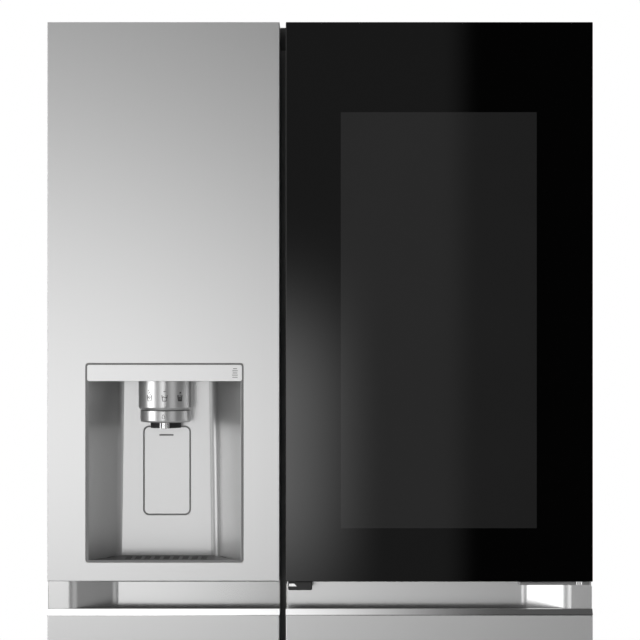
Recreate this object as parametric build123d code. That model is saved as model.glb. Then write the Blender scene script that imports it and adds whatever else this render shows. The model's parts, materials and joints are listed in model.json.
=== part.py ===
"""Side by side refrigerator: freezer door with an ice and water dispenser on the left, refrigerator
door with a glass door-in-door on the right. Millimetres, +X to the right seen from the front,
+Y to the rear, +Z up. The origin is on the floor under the middle of the overall box."""

from build123d import *
import math
import os

# ---------------------------------------------------------------- driving dimensions
width, depth, height = 913.0, 735.0, 1790.0
case_depth = 620.0
case_half_width = 454.5
case_top = 1750.0
case_bottom = 36.0
door_top, door_bottom = 1784.5, 62.0
door_thickness = 103.0
freezer_door_edge, fridge_door_edge = -67.6, -57.3
free_edge = {-1: freezer_door_edge, 1: fridge_door_edge}  # by the side that the hinges are on

sheet = 1.2  # steel sheet
liner_wall = 2.0
gasket_width = 14.0
gasket_gap = 0.4  # between a closed gasket and the case

# ---------------------------------------------------------------- planes and lines worked out from them
half_width = width / 2
front_y = -depth / 2
rear_y = depth / 2
case_front_y = rear_y - case_depth
door_rear_y = front_y + door_thickness
core_front_y = front_y + sheet
back_y = rear_y - 5.5  # outer face of the back panel; spacers stand out to rear_y
foam_front_y = case_front_y + liner_wall
foam_bottom = 90.0

# hinge axes: the same for both doors, mirrored
pivot_x, pivot_y = 434.5, -290.0
pin_radius, bore_radius = 5.0, 5.1
notch_floor = case_top - 6.0
notch_reach = 48.0  # how far the notch reaches inward of the hinge axis
freezer_notch_y, fridge_notch_y = -322.0, -330.0
panel_return_y = front_y + 30  # how far the upper panel's bottom flange reaches back

# machine compartment at the lower rear and the step it makes in the liners
machine_front_y, machine_top = 130.0, 290.0
step_y, step_top = 80.0, 340.0

# compartments
cavity_floor, cavity_top = 150.0, 1698.0
cavity_rear_y = 300.0
cavity_outer_x = 411.5
freezer_inner_x, fridge_inner_x = -92.0, -33.0
flange = 30.0

# pocket handle across both doors
recess_deep_y = -316.0
edge_clearance = 1.4  # between the ends of the handle pieces and the outside of a door
past_sides = -5.0  # as a clearance: runs a cut out past both sides of a door
recess_shallow_y = -356.0
band_sheet = 2.0
ramp_outer_x, ramp_inner_x = 414.0, 347.0
ramp_outer_radius, ramp_inner_radius = 34.0, 24.0
recess_floor = 788.0
lip_top, lip_front, lip_back_y = 801.9, 792.4, -354.5
panel_split = lip_front - 0.8  # top of the lower panels
freezer_panel_bottom = 848.8
panel_edge_radius = 1.5
freezer_band_top = 845.1
fridge_band_top = 838.9

# dispenser
disp_x = -260.0
disp_half_width, disp_bottom, disp_top = 131.3, 881.2, 1212.9
mouth_half_width, mouth_bottom, mouth_top = 128.0, 884.0, 1183.0
recess_back_y, recess_radius = -274.0, 16.0
back_half_top, back_half_bottom = 81.2, 85.7  # to the corners, unrounded
disp_floor, disp_ceiling = 880.0, 1195.0
spout_x, spout_y = -262.0, -312.0
selector_radius, spout_radius = 46.0, 43.0
selector_bottom, spout_bottom, chute_bottom = 1134.0, 1113.0, 1103.0
chute_y, chute_radius, chute_bore = -303.0, 25.9, 22.0
nozzle_y = -338.2
lever_half_width, lever_bottom, lever_top = 40.5, 952.0, 1104.7
lever_gap = 2.9
lever_axis_y, lever_axis_z = -268.0, 1098.0
bulge_half_width, bulge_bottom, bulge_top, bulge_y = 95.0, 868.0, 1236.0, -236.0

# door-in-door
glass_bottom = 848.1
outer_door_rear_y = -322.5
glass_rear_y = front_y + 5.0
inner_door_front_y = -314.0
outer_pivot_x, outer_pivot_y = 438.5, -345.0
outer_pin_radius, outer_bore_radius = 4.0, 4.1
window = (34.8, 362.5, 937.7, 1633.6)  # x0, x1, z0, z1
case_opening = (-8.0, 395.0, 880.0, 1695.0)  # through the inner door, for the outer baskets
outer_hinge_z = 1768.0
arm_pocket_x = (328.0, 392.0)
hinge_plate_x, hinge_plate_z = (333.0, 452.0), (842.0, 846.6)  # lower plate of the glass door's hinge

# interior
freezer_x = (-409.5, -94.0)
fridge_x = (-31.0, 409.5)
fridge_shelf_z = (556.0, 850.0, 1130.0, 1410.0)
freezer_shelf_z = (575.0, 830.0, 1085.0, 1340.0)
fridge_shelf_y, freezer_shelf_y = (-150.0, 276.0), (-125.0, 246.0)
lower_drawer_z, fridge_upper_drawer_z, freezer_upper_drawer_z = (158.0, 338.0), (350.0, 538.0), (350.0, 555.0)
drawer_wall = 3.0
drawer_inset = 14.5  # drawers stop short of the outer wall, so that they clear the gasket of an open door

# under the cabinet and in the machine compartment
plate = 1.5
foot_x, foot_y, foot_stem_radius = 425.0, -225.0, 5.0
roller_x, roller_y, roller_radius, roller_width = 420.0, 320.0, 18.0, 16.0
roller_pin_radius = 4.0
carrier_x = 404.0  # where the engine plate ends and the roller carriers begin
engine_plate_y = (machine_front_y + 4, back_y - 12)
engine_plate_z = (44.0, 46.5)
fan_y, fan_z, fan_tip_radius = 247.0, 160.0, 78.0
valve_x, valve_z, valve_radius = 330.0, 180.0, 13.2
evap_fan_centre = (-251.75, 276.0, 1060.0)

# release button of the door-in-door
button_box = (-53.5, -12.9, 833.0, 847.5)  # x0, x1, z0, z1 of the part that shows
button_y = (-360.0, -338.0)
button_travel = 5.0

os.makedirs("parts", exist_ok=True)


# ---------------------------------------------------------------- helpers
def block(x0, x1, y0, y1, z0, z1):
    """A box between two corners."""
    return Pos((x0 + x1) / 2, (y0 + y1) / 2, (z0 + z1) / 2) * Box(abs(x1 - x0), abs(y1 - y0), abs(z1 - z0))


def rod(axis, radius, start, end, centre):
    """A cylinder along X, Y or Z from start to end; centre gives its other two coordinates, in order."""
    length, middle = abs(end - start), (start + end) / 2
    turned = {"X": Rotation(0, 90, 0), "Y": Rotation(90, 0, 0), "Z": Rotation(0, 0, 0)}[axis]
    a, b = centre
    place = {"X": Pos(middle, a, b), "Y": Pos(a, middle, b), "Z": Pos(a, b, middle)}[axis]
    return place * turned * Cylinder(radius, length)


def rounded_plate(x0, x1, z0, z1, y0, y1, radius):
    """A plate that faces the front, with rounded corners."""
    face = RectangleRounded(x1 - x0, z1 - z0, radius)
    plate = extrude(face, y1 - y0)
    return Pos((x0 + x1) / 2, y1, (z0 + z1) / 2) * Rotation(90, 0, 0) * plate


def soft_edges(shape, radius, axis=Axis.Z):
    """Rounds the edges that run along one axis."""
    return fillet(shape.edges().filter_by(axis), radius)


def tray(x0, x1, y0, y1, z0, z1, wall):
    """An open-topped box."""
    inside = block(x0 + wall, x1 - wall, y0 + wall, y1 - wall, z0 + wall, z1 + 1)
    return block(x0, x1, y0, y1, z0, z1) - inside


def ring_plate(outer, inner, y0, y1):
    """A rectangular frame that faces the front; outer and inner are x0, x1, z0, z1."""
    return block(outer[0], outer[1], y0, y1, outer[2], outer[3]) - block(
        inner[0], inner[1], y0 - 1, y1 + 1, inner[2], inner[3]
    )


def save(name, *shapes):
    """Writes one node; each solid in it stays a separate solid."""
    solids = [s for shape in shapes for s in shape.solids()]
    export_step(Compound(label=name, children=solids), f"parts/{name}.step")


def mirrored(shape):
    """The same shape on the other side of the middle plane."""
    return mirror(shape, about=Plane.YZ)


def slabs(shape, *levels):
    """A shape cut into slabs at some heights, as foam is cut before it is fitted."""
    heights = [0.0, *levels, height]
    return [shape & block(-width, width, -depth, depth, z0, z1) for z0, z1 in zip(heights, heights[1:])]


# ---------------------------------------------------------------- cabinet
def cabinet_shell():
    inner_x = case_half_width - sheet
    side = block(inner_x, case_half_width, case_front_y, back_y, case_bottom, case_top)
    flange_x = case_half_width - flange
    side += block(flange_x, inner_x, case_front_y, case_front_y + sheet, foam_bottom, case_top - sheet)
    top = block(-inner_x, inner_x, case_front_y, back_y, case_top - sheet, case_top)
    top += block(
        -flange_x, flange_x, case_front_y, case_front_y + sheet, case_top - flange, case_top - sheet
    )
    mullion = block(
        freezer_inner_x + liner_wall,
        fridge_inner_x - liner_wall,
        case_front_y,
        case_front_y + sheet,
        foam_bottom + flange,
        case_top - flange,
    )
    save("cabinet_panels", mirrored(side), side, top, mullion)

    back = block(-inner_x, inner_x, back_y - sheet, back_y, machine_top, case_top - sheet)
    for x in (-300, -100, 100, 300):  # stiffening beads
        back += block(x - 20, x + 20, back_y, back_y + 2.5, machine_top + 80, case_top - 90)
    save("back_panel", back)

    save("base_pan", *base_plates(inner_x), *[bottom_rail(sign) for sign in (-1, 1)],
         *[roller_carrier(sign) for sign in (-1, 1)])


def base_plates(inner_x):
    """The floor and its front flange, the machine compartment's front wall and roof, the engine plate."""
    flange_x = case_half_width - flange
    wall_y = machine_front_y - plate
    return [
        block(-inner_x, inner_x, case_front_y, wall_y, foam_bottom - plate, foam_bottom),
        block(-flange_x, flange_x, case_front_y, case_front_y + sheet, foam_bottom, foam_bottom + flange),
        block(-inner_x, inner_x, wall_y, machine_front_y, foam_bottom - plate, machine_top - plate),
        block(-inner_x, inner_x, wall_y, back_y - sheet, machine_top - plate, machine_top),
        block(-carrier_x, carrier_x, *engine_plate_y, *engine_plate_z),
    ]


def bottom_rail(sign):
    """An inverted channel under one side of the floor, bored for the levelling foot."""
    x0, x1 = sorted((sign * 398, sign * (case_half_width - sheet)))
    y0, y1 = case_front_y + 4, machine_front_y - 6
    rail = block(x0, x1, y0, y1, 60, foam_bottom - plate)
    rail -= block(x0 + 2, x1 - 2, y0 - 2, y1 + 2, 59, foam_bottom - 4)
    rail += block(x0, x1, y0, y0 + 56, 56, 60)
    return rail - rod("Z", foot_stem_radius + 0.1, 50, 95, (sign * foot_x, foot_y))


def roller_carrier(sign):
    """The end of the engine plate with a slot for one roller, the ears beside it and its pin."""
    x0, x1 = sorted((sign * carrier_x, sign * (case_half_width - sheet)))
    centre = sign * roller_x
    half = roller_width / 2
    carrier = block(x0, x1, *engine_plate_y, *engine_plate_z)
    carrier -= block(centre - half - 2, centre + half + 2, roller_y - 20, roller_y + 20, 40, 50)
    for x in (centre - half - 4, centre + half + 4):
        carrier += block(x - 1.5, x + 1.5, roller_y - 14, roller_y + 14, 12, engine_plate_z[0])
    pin = rod("X", roller_pin_radius, centre - half - 5.5, centre + half + 5.5, (roller_y, roller_radius))
    return carrier + pin


def compartment_void(x0, x1, wall=0.0):
    """The space of one compartment, with the step over the machine compartment; wall grows it outwards."""
    rear = cavity_rear_y + wall
    void = block(x0 - wall, x1 + wall, case_front_y - 1, rear, cavity_floor - wall, cavity_top + wall)
    return void - block(x0 - wall - 1, x1 + wall + 1, step_y + wall, 400, 0, step_top - wall)


def insulation_and_liners():
    inner_x = case_half_width - sheet
    freezer = (-cavity_outer_x, freezer_inner_x)
    fridge = (fridge_inner_x, cavity_outer_x)
    foam = block(-inner_x, inner_x, foam_front_y, back_y - sheet, foam_bottom, case_top - sheet)
    foam -= block(-500, 500, machine_front_y - 1.5, 500, 0, machine_top)
    for x0, x1 in (freezer, fridge):
        foam -= compartment_void(x0, x1, liner_wall)
    save("cabinet_foam", foam)

    lip_edge = case_half_width - flange - 0.2
    for name, (x0, x1), shelf_z, shelf_y, drawer_z in (
        ("freezer_liner", freezer, freezer_shelf_z, freezer_shelf_y, freezer_upper_drawer_z),
        ("fridge_liner", fridge, fridge_shelf_z, fridge_shelf_y, fridge_upper_drawer_z),
    ):
        lip_x0 = -lip_edge if name == "freezer_liner" else x0 - liner_wall
        lip_x1 = x1 + liner_wall if name == "freezer_liner" else lip_edge
        shell = compartment_void(x0, x1, liner_wall)
        shell -= block(-500, 500, -400, case_front_y, 0, 2000)
        shell += block(
            lip_x0, lip_x1, case_front_y, foam_front_y, foam_bottom + flange + 0.2, case_top - flange - 0.2
        )
        shell -= compartment_void(x0, x1)
        ribs = [(z - 14, shelf_y[1] - 20, 0) for z in shelf_z]
        ribs += [(drawer_z[1] - 12, shelf_y[1] - 20, drawer_inset)]
        ribs += [(lower_drawer_z[1] - 12, step_y - 6, drawer_inset)]
        for z, y1, inset in ribs:
            for wall_x, into in ((x0, 1), (x1, -1)):
                reach = 7 + inset if abs(wall_x) == cavity_outer_x else 7
                rib_x = sorted((wall_x, wall_x + reach * into))
                shell += block(*rib_x, shelf_y[0] + 20, y1, z, z + 6)
        save(name, shell)


def covers_and_hinges():
    wall = 2.5
    middle = block(-388, 388, case_front_y + 0.5, -110, case_top, height)
    middle = fillet(middle.edges().filter_by(Axis.X).group_by(Axis.Z)[-1], 4)
    middle -= block(-388 + wall, 388 - wall, case_front_y + wall, -110 - wall, case_top - 1, height - wall)
    hinge_cover = block(392, 454, -308, -110, case_top, height - 2)
    hinge_cover = soft_edges(hinge_cover, 8)
    hinge_cover -= block(392 + wall, 454 - wall, -308 + wall, -110 - wall, case_top - 1, height - 2 - wall)
    save("top_covers", middle, mirrored(hinge_cover), hinge_cover)

    plate = block(pivot_x - 26, pivot_x + 14, pivot_y - 12, -170, case_top, case_top + 5)
    plate = soft_edges(plate, 6)
    for y in (-235, -205):  # screw heads
        plate += rod("Z", 7, case_top + 5, case_top + 9, (pivot_x - 8, y))
    upper = plate + rod("Z", pin_radius, notch_floor - 20, case_top, (pivot_x, pivot_y))
    foot_plate = block(pivot_x - 26, pivot_x + 14, pivot_y - 12, case_front_y, 54, 59)
    foot_plate = soft_edges(foot_plate, 6)
    foot_plate += block(pivot_x - 26, pivot_x + 14, case_front_y - 1.8, case_front_y, 50, 94)
    lower = foot_plate + rod("Z", pin_radius, 59, 82, (pivot_x, pivot_y))
    save("door_hinges", mirrored(upper), upper, mirrored(lower), lower)

    kick = block(-445, 445, case_front_y + 0.5, case_front_y + 3.5, 8, 52)
    kick += block(-445, 445, case_front_y + 3.5, case_front_y + 20, 49, 52)
    kick = fillet(kick.edges().filter_by(Axis.Y).filter_by_position(Axis.Z, 0, 10), 2)
    for i in range(24):  # air intake slots
        x = -391 + 34 * i
        kick -= block(x - 11, x + 11, case_front_y - 2, case_front_y + 6, 18, 22)
        kick -= block(x - 11, x + 11, case_front_y - 2, case_front_y + 6, 28, 32)
    save("kick_plate", kick)


# ---------------------------------------------------------------- feet and rollers
def feet_and_rollers():
    for name, side_sign in (("levelling_foot_left", -1), ("levelling_foot_right", 1)):
        x = side_sign * foot_x
        pad = rod("Z", 19, 0, 9, (x, foot_y))
        pad = chamfer(pad.edges().group_by(Axis.Z)[-1], 3)
        nut = Pos(x, foot_y, 9) * extrude(RegularPolygon(12, 6), 10)
        save(name, pad + nut + rod("Z", foot_stem_radius, 19, 84, (x, foot_y)))
    wheels = []
    for side_sign in (-1, 1):
        x = side_sign * roller_x
        wheel = rod("X", roller_radius, x - roller_width / 2, x + roller_width / 2, (roller_y, roller_radius))
        wheel = fillet(wheel.edges().filter_by(GeomType.CIRCLE), 2)
        wheel -= rod("X", roller_pin_radius + 0.1, x - 20, x + 20, (roller_y, roller_radius))
        wheels.append(wheel)
    save("rear_rollers", *wheels)


# ---------------------------------------------------------------- refrigeration circuit
def fan(hub_radius, tip_radius, thickness, blades, pitch):
    """A bladed fan about the Z axis through the origin."""
    wheel = Cylinder(hub_radius, thickness)
    reach = tip_radius - hub_radius + 3
    blade = Pos(hub_radius - 3 + reach / 2, 0, 0) * Rotation(pitch, 0, 0) * Box(reach, hub_radius * 1.7, 1.6)
    for i in range(blades):
        wheel += Rotation(0, 0, 360 * i / blades) * blade
    return wheel & Cylinder(tip_radius, thickness)


def refrigeration():
    # compressor: two drawn steel halves on a foot plate with rubber-bushed lugs
    cx, cy, base = -270.0, 245.0, 46.5
    half = 82.0
    can = Pos(cx, cy, base + 8) * extrude(Ellipse(92, 74), 150)
    can = fillet(can.edges().group_by(Axis.Z)[-1], 40)
    can += Pos(cx, cy, base + 80) * extrude(Ellipse(95, 77), 6)
    can += block(cx - half, cx + half, cy - 40, cy + 40, base, base + 8)
    for sx in (-1, 1):
        for sy in (-1, 1):
            can += rod("Z", 11, base, base + 18, (cx + sx * 88, cy + sy * 34))
    can += rod("Z", 5, base + 120, base + 185, (cx + 40, cy + 30))
    can += rod("Z", 4, base + 110, base + 190, (cx - 45, cy + 20))
    save("compressor", can)

    # condenser: tube rows held by two end plates
    rows, tube = 6, 3.0
    x0, x1 = -40.0, 150.0
    coil = block(x0, x0 + 2, 160, 340, 80, 250) + block(x1 - 2, x1, 160, 340, 80, 250)
    for i in range(rows):
        for j in range(5):
            coil += rod("X", tube, x0 - 6, x1 + 6, (175 + 30 * i, 100 + 33 * j))
    save("condenser_coil", coil)

    shroud = block(-100, -92, 150, 345, 60, 255)
    shroud -= rod("X", fan_tip_radius + 4, -110, -80, (fan_y, fan_z))
    for angle in (45, 135):
        spoke = Rotation(angle, 0, 0) * Box(4, 10, 2 * fan_tip_radius + 14)
        shroud += Pos(-94, fan_y, fan_z) * spoke
    motor = rod("X", 22, -96, -70, (fan_y, fan_z)) + rod("X", 3, -108, -90, (fan_y, fan_z))
    save("condenser_fan_shroud", shroud + motor)
    blades = Pos(-113, fan_y, fan_z) * Rotation(0, 90, 0) * fan(20, fan_tip_radius, 22, 7, 28)
    blades -= rod("X", 3.1, -130, -90, (fan_y, fan_z))
    save("condenser_fan", blades)

    save("drain_pan", tray(-30, 400, 150, 345, 47, 72, 2.5))

    cover = block(-448, 448, back_y - 4, back_y - 1.5, 48, machine_top - 4)
    for x in (-380, 60):
        for z in range(78, 250, 12):
            cover -= block(x, x + 150, back_y - 10, back_y + 5, z, z + 5)
    for x in (-420, 400):  # wall spacers
        cover += block(x, x + 16, back_y - 4, rear_y, 90, 250)
    cover -= block(valve_x - 34, valve_x + 34, back_y - 10, back_y + 5, valve_z - 34, valve_z + 34)
    cover += rod("Y", 9, back_y - 4, rear_y - 1, (-200, 75))  # mains lead strain relief
    cover -= rod("Y", 4, back_y - 20, rear_y + 5, (-200, 75))
    save("machine_cover", cover)

    valve = block(valve_x - 22, valve_x + 22, 300, 340, valve_z - 25, valve_z + 25)
    valve += rod("Z", 15, valve_z + 25, valve_z + 60, (valve_x, 320))
    valve += rod("Y", valve_radius, 340, 366, (valve_x, valve_z))
    save("water_valve", valve)

    # evaporator: fins on tube rows, behind the freezer's rear cover
    evaporator = block(-388, -386, 264, 294, 430, 930) + block(-118, -116, 264, 294, 430, 930)
    for i in range(12):
        for y in (272, 286):
            evaporator += rod("X", 4, -392, -112, (y, 450 + 42 * i))
    for i in range(26):
        x = -378 + 10 * i
        evaporator += block(x, x + 0.8, 264, 294, 440, 920)
    save("evaporator", evaporator)
    wheel = Pos(*evap_fan_centre) * Rotation(90, 0, 0) * fan(16, 52, 18, 6, 30)
    wheel -= rod("Y", 2.6, 240, 300, (evap_fan_centre[0], evap_fan_centre[2]))
    save("evaporator_fan", wheel)


# ---------------------------------------------------------------- interior fittings
def shelf(x0, x1, y0, y1, z):
    """A glass plate in a moulded rim."""
    rim, lip = 10.0, 14.0
    glass = block(x0 + rim, x1 - rim, y0 + lip, y1 - rim, z - 2, z + 2)
    frame = block(x0, x1, y0, y1, z - 7.5, z + 4)
    frame = fillet(frame.edges().filter_by(Axis.X).group_by(Axis.Y)[0], 3)
    frame -= block(x0 + rim, x1 - rim, y0 + lip, y1 - rim, z - 8, z + 5)
    return glass, frame


def drawer(name, x0, x1, y0, y1, z0, z1):
    """An open bin with a thick front, a grip and side runners that hang on the liner's ribs."""
    rail = 7.0
    gap = 2.5
    body = tray(x0 + rail + gap, x1 - rail - gap, y0 + 10, y1, z0, z1 - 14, drawer_wall)
    body += tray(x0 + rail + gap, x1 - rail - gap, y0 + 10, y1, z1 - 16, z1, drawer_wall) - block(
        x0 + rail + gap + drawer_wall, x1 - rail - gap - drawer_wall, y0 + 13, y1 - 3, z1 - 20, z1 + 2
    )
    runners = block(x0 + 1.5, x1 - 1.5, y0 + 30, y1, z1 - 5, z1) - block(
        x0 + rail + gap, x1 - rail - gap, y0 + 20, y1 + 1, z1 - 6, z1 + 1
    )
    front = block(x0 + 1.5, x1 - 1.5, y0, y0 + 10, z0, z1)
    front = fillet(front.edges().filter_by(Axis.Y), 4)
    middle = (x0 + x1) / 2
    grip = block(middle - 70, middle + 70, y0 - 6, y0 + 6, z1 - 42, z1 - 12)
    grip = fillet(grip.edges().filter_by(Axis.X).group_by(Axis.Y)[0], 4)
    grip -= block(middle - 66, middle + 66, y0 - 2, y0 + 6, z1 - 43, z1 - 20)
    save(name, body + runners + front + grip)


def interior():
    glasses, frames = [], []
    for (x0, x1), (y0, y1), levels in (
        (fridge_x, fridge_shelf_y, fridge_shelf_z),
        (freezer_x, freezer_shelf_y, freezer_shelf_z),
    ):
        for z in levels:
            glass, frame = shelf(x0, x1, y0, y1, z)
            glasses.append(glass)
            frames.append(frame)
    save("glass_shelves", *glasses)
    save("shelf_frames", *frames)

    crisper_x = (fridge_x[0], fridge_x[1] - drawer_inset)
    bin_x = (freezer_x[0] + drawer_inset, freezer_x[1])
    drawer("crisper_drawer_lower", *crisper_x, -150, step_y - 4, *lower_drawer_z)
    drawer("crisper_drawer_upper", *crisper_x, -150, 270, *fridge_upper_drawer_z)
    drawer("freezer_drawer_lower", *bin_x, -140, step_y - 4, *lower_drawer_z)
    drawer("freezer_drawer_upper", *bin_x, -140, 240, *freezer_upper_drawer_z)

    fx0, fx1 = -411.0, -92.5
    freezer_duct = block(fx0, fx1, 250, 256, step_top + 1, cavity_top - 1)
    fan_x, _, fan_z0 = evap_fan_centre
    freezer_duct -= rod("Y", 58, 240, 270, (fan_x, fan_z0))
    for angle in (0, 90):  # guard over the fan
        freezer_duct += Pos(fan_x, 253, fan_z0) * Rotation(0, angle, 0) * Box(6, 4, 124)
    freezer_duct += rod("Y", 18, 251, 262, (fan_x, fan_z0)) + rod("Y", 2.5, 255, 284, (fan_x, fan_z0))
    for z in (700, 960, 1220, 1480, 1600):  # cold air outlets
        for x in (-360, -180):
            freezer_duct -= block(x, x + 40, 240, 260, z, z + 14)
    fridge_duct = block(110, 268, 279, 299.5, step_top + 60, cavity_top - 1)
    fridge_duct = soft_edges(fridge_duct, 6)
    fridge_duct -= block(114, 264, 283, 301, step_top + 64, cavity_top - 5)
    for z in (620, 900, 1180, 1460, 1600):
        for x in (130, 200):
            fridge_duct -= block(x, x + 48, 270, 285, z, z + 12)
    save("air_duct_covers", freezer_duct, fridge_duct)

    fridge_lamp = block(80, 300, -60, 30, cavity_top - 9, cavity_top)
    freezer_lamp = block(-330, -174, -60, 10, cavity_top - 9, cavity_top)
    side_lamp = block(cavity_outer_x - 5, cavity_outer_x, -198, -178, 700, 1600)
    save("interior_lamps", soft_edges(fridge_lamp, 10), soft_edges(freezer_lamp, 10), side_lamp)


# ---------------------------------------------------------------- pocket handle
def recess_volume(side, shift, clearance, z0, z1):
    """The handle recess of one door, from in front of it back to the band's face plus shift. The face is
    shallow at the hinge side and runs down a ramp to its full depth. clearance is kept from both sides of
    the door; a negative one runs past them."""
    outer = side * (half_width - clearance)
    inner = free_edge[side] + side * clearance
    shallow, deep = recess_shallow_y + shift, recess_deep_y + shift
    face = FilletPolyline(
        (outer, shallow),
        (side * ramp_outer_x, shallow),
        (side * ramp_inner_x, deep),
        (inner, deep),
        radius=[ramp_outer_radius, ramp_inner_radius],
    )
    closing = Polyline((inner, deep), (inner, front_y - 20), (outer, front_y - 20), (outer, shallow))
    return Pos(0, 0, z0) * extrude(make_face(face.edges() + closing.edges()), z1 - z0)


def handle_band(side, top, tuck_top):
    """The formed sheet behind the fingers; its deep part runs on upward to tuck_top."""
    band = recess_volume(side, band_sheet, edge_clearance, recess_floor, top)
    band -= recess_volume(side, 0, past_sides, recess_floor - 1, top + 1)
    x0, x1 = sorted((free_edge[side] + side * edge_clearance, side * (ramp_inner_x - 10)))
    return band + block(x0, x1, recess_deep_y, recess_deep_y + band_sheet, top - 2, tuck_top)


def side_caps(side, top):
    """Steel caps that close the two sides of a door behind the band."""
    hinge_edge, inner_edge = side * half_width, free_edge[side]
    hinge_x = sorted((hinge_edge, hinge_edge - side * sheet))
    inner_x = sorted((inner_edge, inner_edge + side * sheet))
    return [
        block(*hinge_x, recess_shallow_y + band_sheet, door_rear_y, panel_split, top),
        block(*inner_x, recess_deep_y + band_sheet, door_rear_y, panel_split, top),
    ]


def handle_lip(side):
    """The bright bevelled rail that the fingers hook behind, on a tongue inside the lower panel."""
    x0, x1 = sorted((side * half_width, free_edge[side]))
    bevel = Plane.YZ * make_face(
        Polyline(
            (front_y, lip_front),
            (front_y, lip_front + 0.6),
            (front_y + 9.5, lip_top),
            (lip_back_y, lip_top),
            (lip_back_y, lip_front),
            (front_y, lip_front),
        )
    )
    head = Pos(x0, 0, 0) * extrude(bevel, x1 - x0, dir=(1, 0, 0))
    head &= recess_volume(side, 0, past_sides, lip_front - 5, lip_top + 5)
    tongue = block(x0, x1, core_front_y, lip_back_y, recess_floor, lip_front)
    tongue &= recess_volume(side, 0, edge_clearance, recess_floor - 5, lip_front)
    return head + tongue


def lower_panel(side):
    """The steel skin below the handle, folded round the door's sides and foot."""
    x0, x1 = sorted((side * half_width, free_edge[side]))
    skin = block(x0, x1, front_y, door_rear_y, door_bottom, panel_split)
    skin = fillet(skin.edges().filter_by(Axis.Z).group_by(Axis.Y)[0], 2)
    skin -= block(x0 + sheet, x1 - sheet, core_front_y, door_rear_y + 1, door_bottom + sheet, panel_split + 1)
    return skin - door_bores(side)


def door_bores(side):
    """The two hinge bushes in a door's core."""
    x = side * pivot_x
    return rod("Z", bore_radius, notch_floor - 24, notch_floor + 1, (x, pivot_y)) + rod(
        "Z", bore_radius, door_bottom - 1, 86, (x, pivot_y)
    )


def hinge_notch(side, y0):
    """The corner cut out of a door's top for the hinge arm and its cover."""
    x0, x1 = sorted((side * (pivot_x - notch_reach), side * (half_width + 5)))
    return block(x0, x1, y0, door_rear_y + 5, notch_floor, door_top + 5)


def gasket(x0, x1, y0, y1, z0, z1):
    """A bellows seal: a base strip with a magnetic bulb."""
    w = gasket_width
    base = ring_plate((x0, x1, z0, z1), (x0 + w, x1 - w, z0 + w, z1 - w), y0, (y0 + y1) / 2)
    bulb = ring_plate(
        (x0 + 2, x1 - 2, z0 + 2, z1 - 2), (x0 + w - 2, x1 - w + 2, z0 + w - 2, z1 - w + 2), (y0 + y1) / 2, y1
    )
    return base + bulb


# ---------------------------------------------------------------- freezer door
def dispenser_profile(half_front, half_back, back_y0, front_y0, radius):
    outline = FilletPolyline(
        (disp_x - half_front, front_y0),
        (disp_x - half_back, back_y0),
        (disp_x + half_back, back_y0),
        (disp_x + half_front, front_y0),
        radius=[radius, radius],
    )
    closing = Line((disp_x + half_front, front_y0), (disp_x - half_front, front_y0))
    return make_face(outline.edges() + closing.edges())


def dispenser_space(grow, z0, z1, front):
    """The tapered recess, narrower at the back; grow moves its walls outward."""
    low = Pos(0, 0, z0) * dispenser_profile(
        mouth_half_width + grow, back_half_bottom + grow, recess_back_y + grow, front, recess_radius + grow
    )
    high = Pos(0, 0, z1) * dispenser_profile(
        mouth_half_width + grow, back_half_top + grow, recess_back_y + grow, front, recess_radius + grow
    )
    return loft([low, high], ruled=True)


def ice_duct(section):
    """A section swept up from the spout and back to the ice maker."""
    path = FilletPolyline(
        (spout_x, chute_y, chute_bottom), (spout_x, chute_y, 1236), (spout_x, -240, 1302), radius=40
    )
    return sweep(Plane(origin=(spout_x, chute_y, chute_bottom)) * section, path=path)


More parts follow.
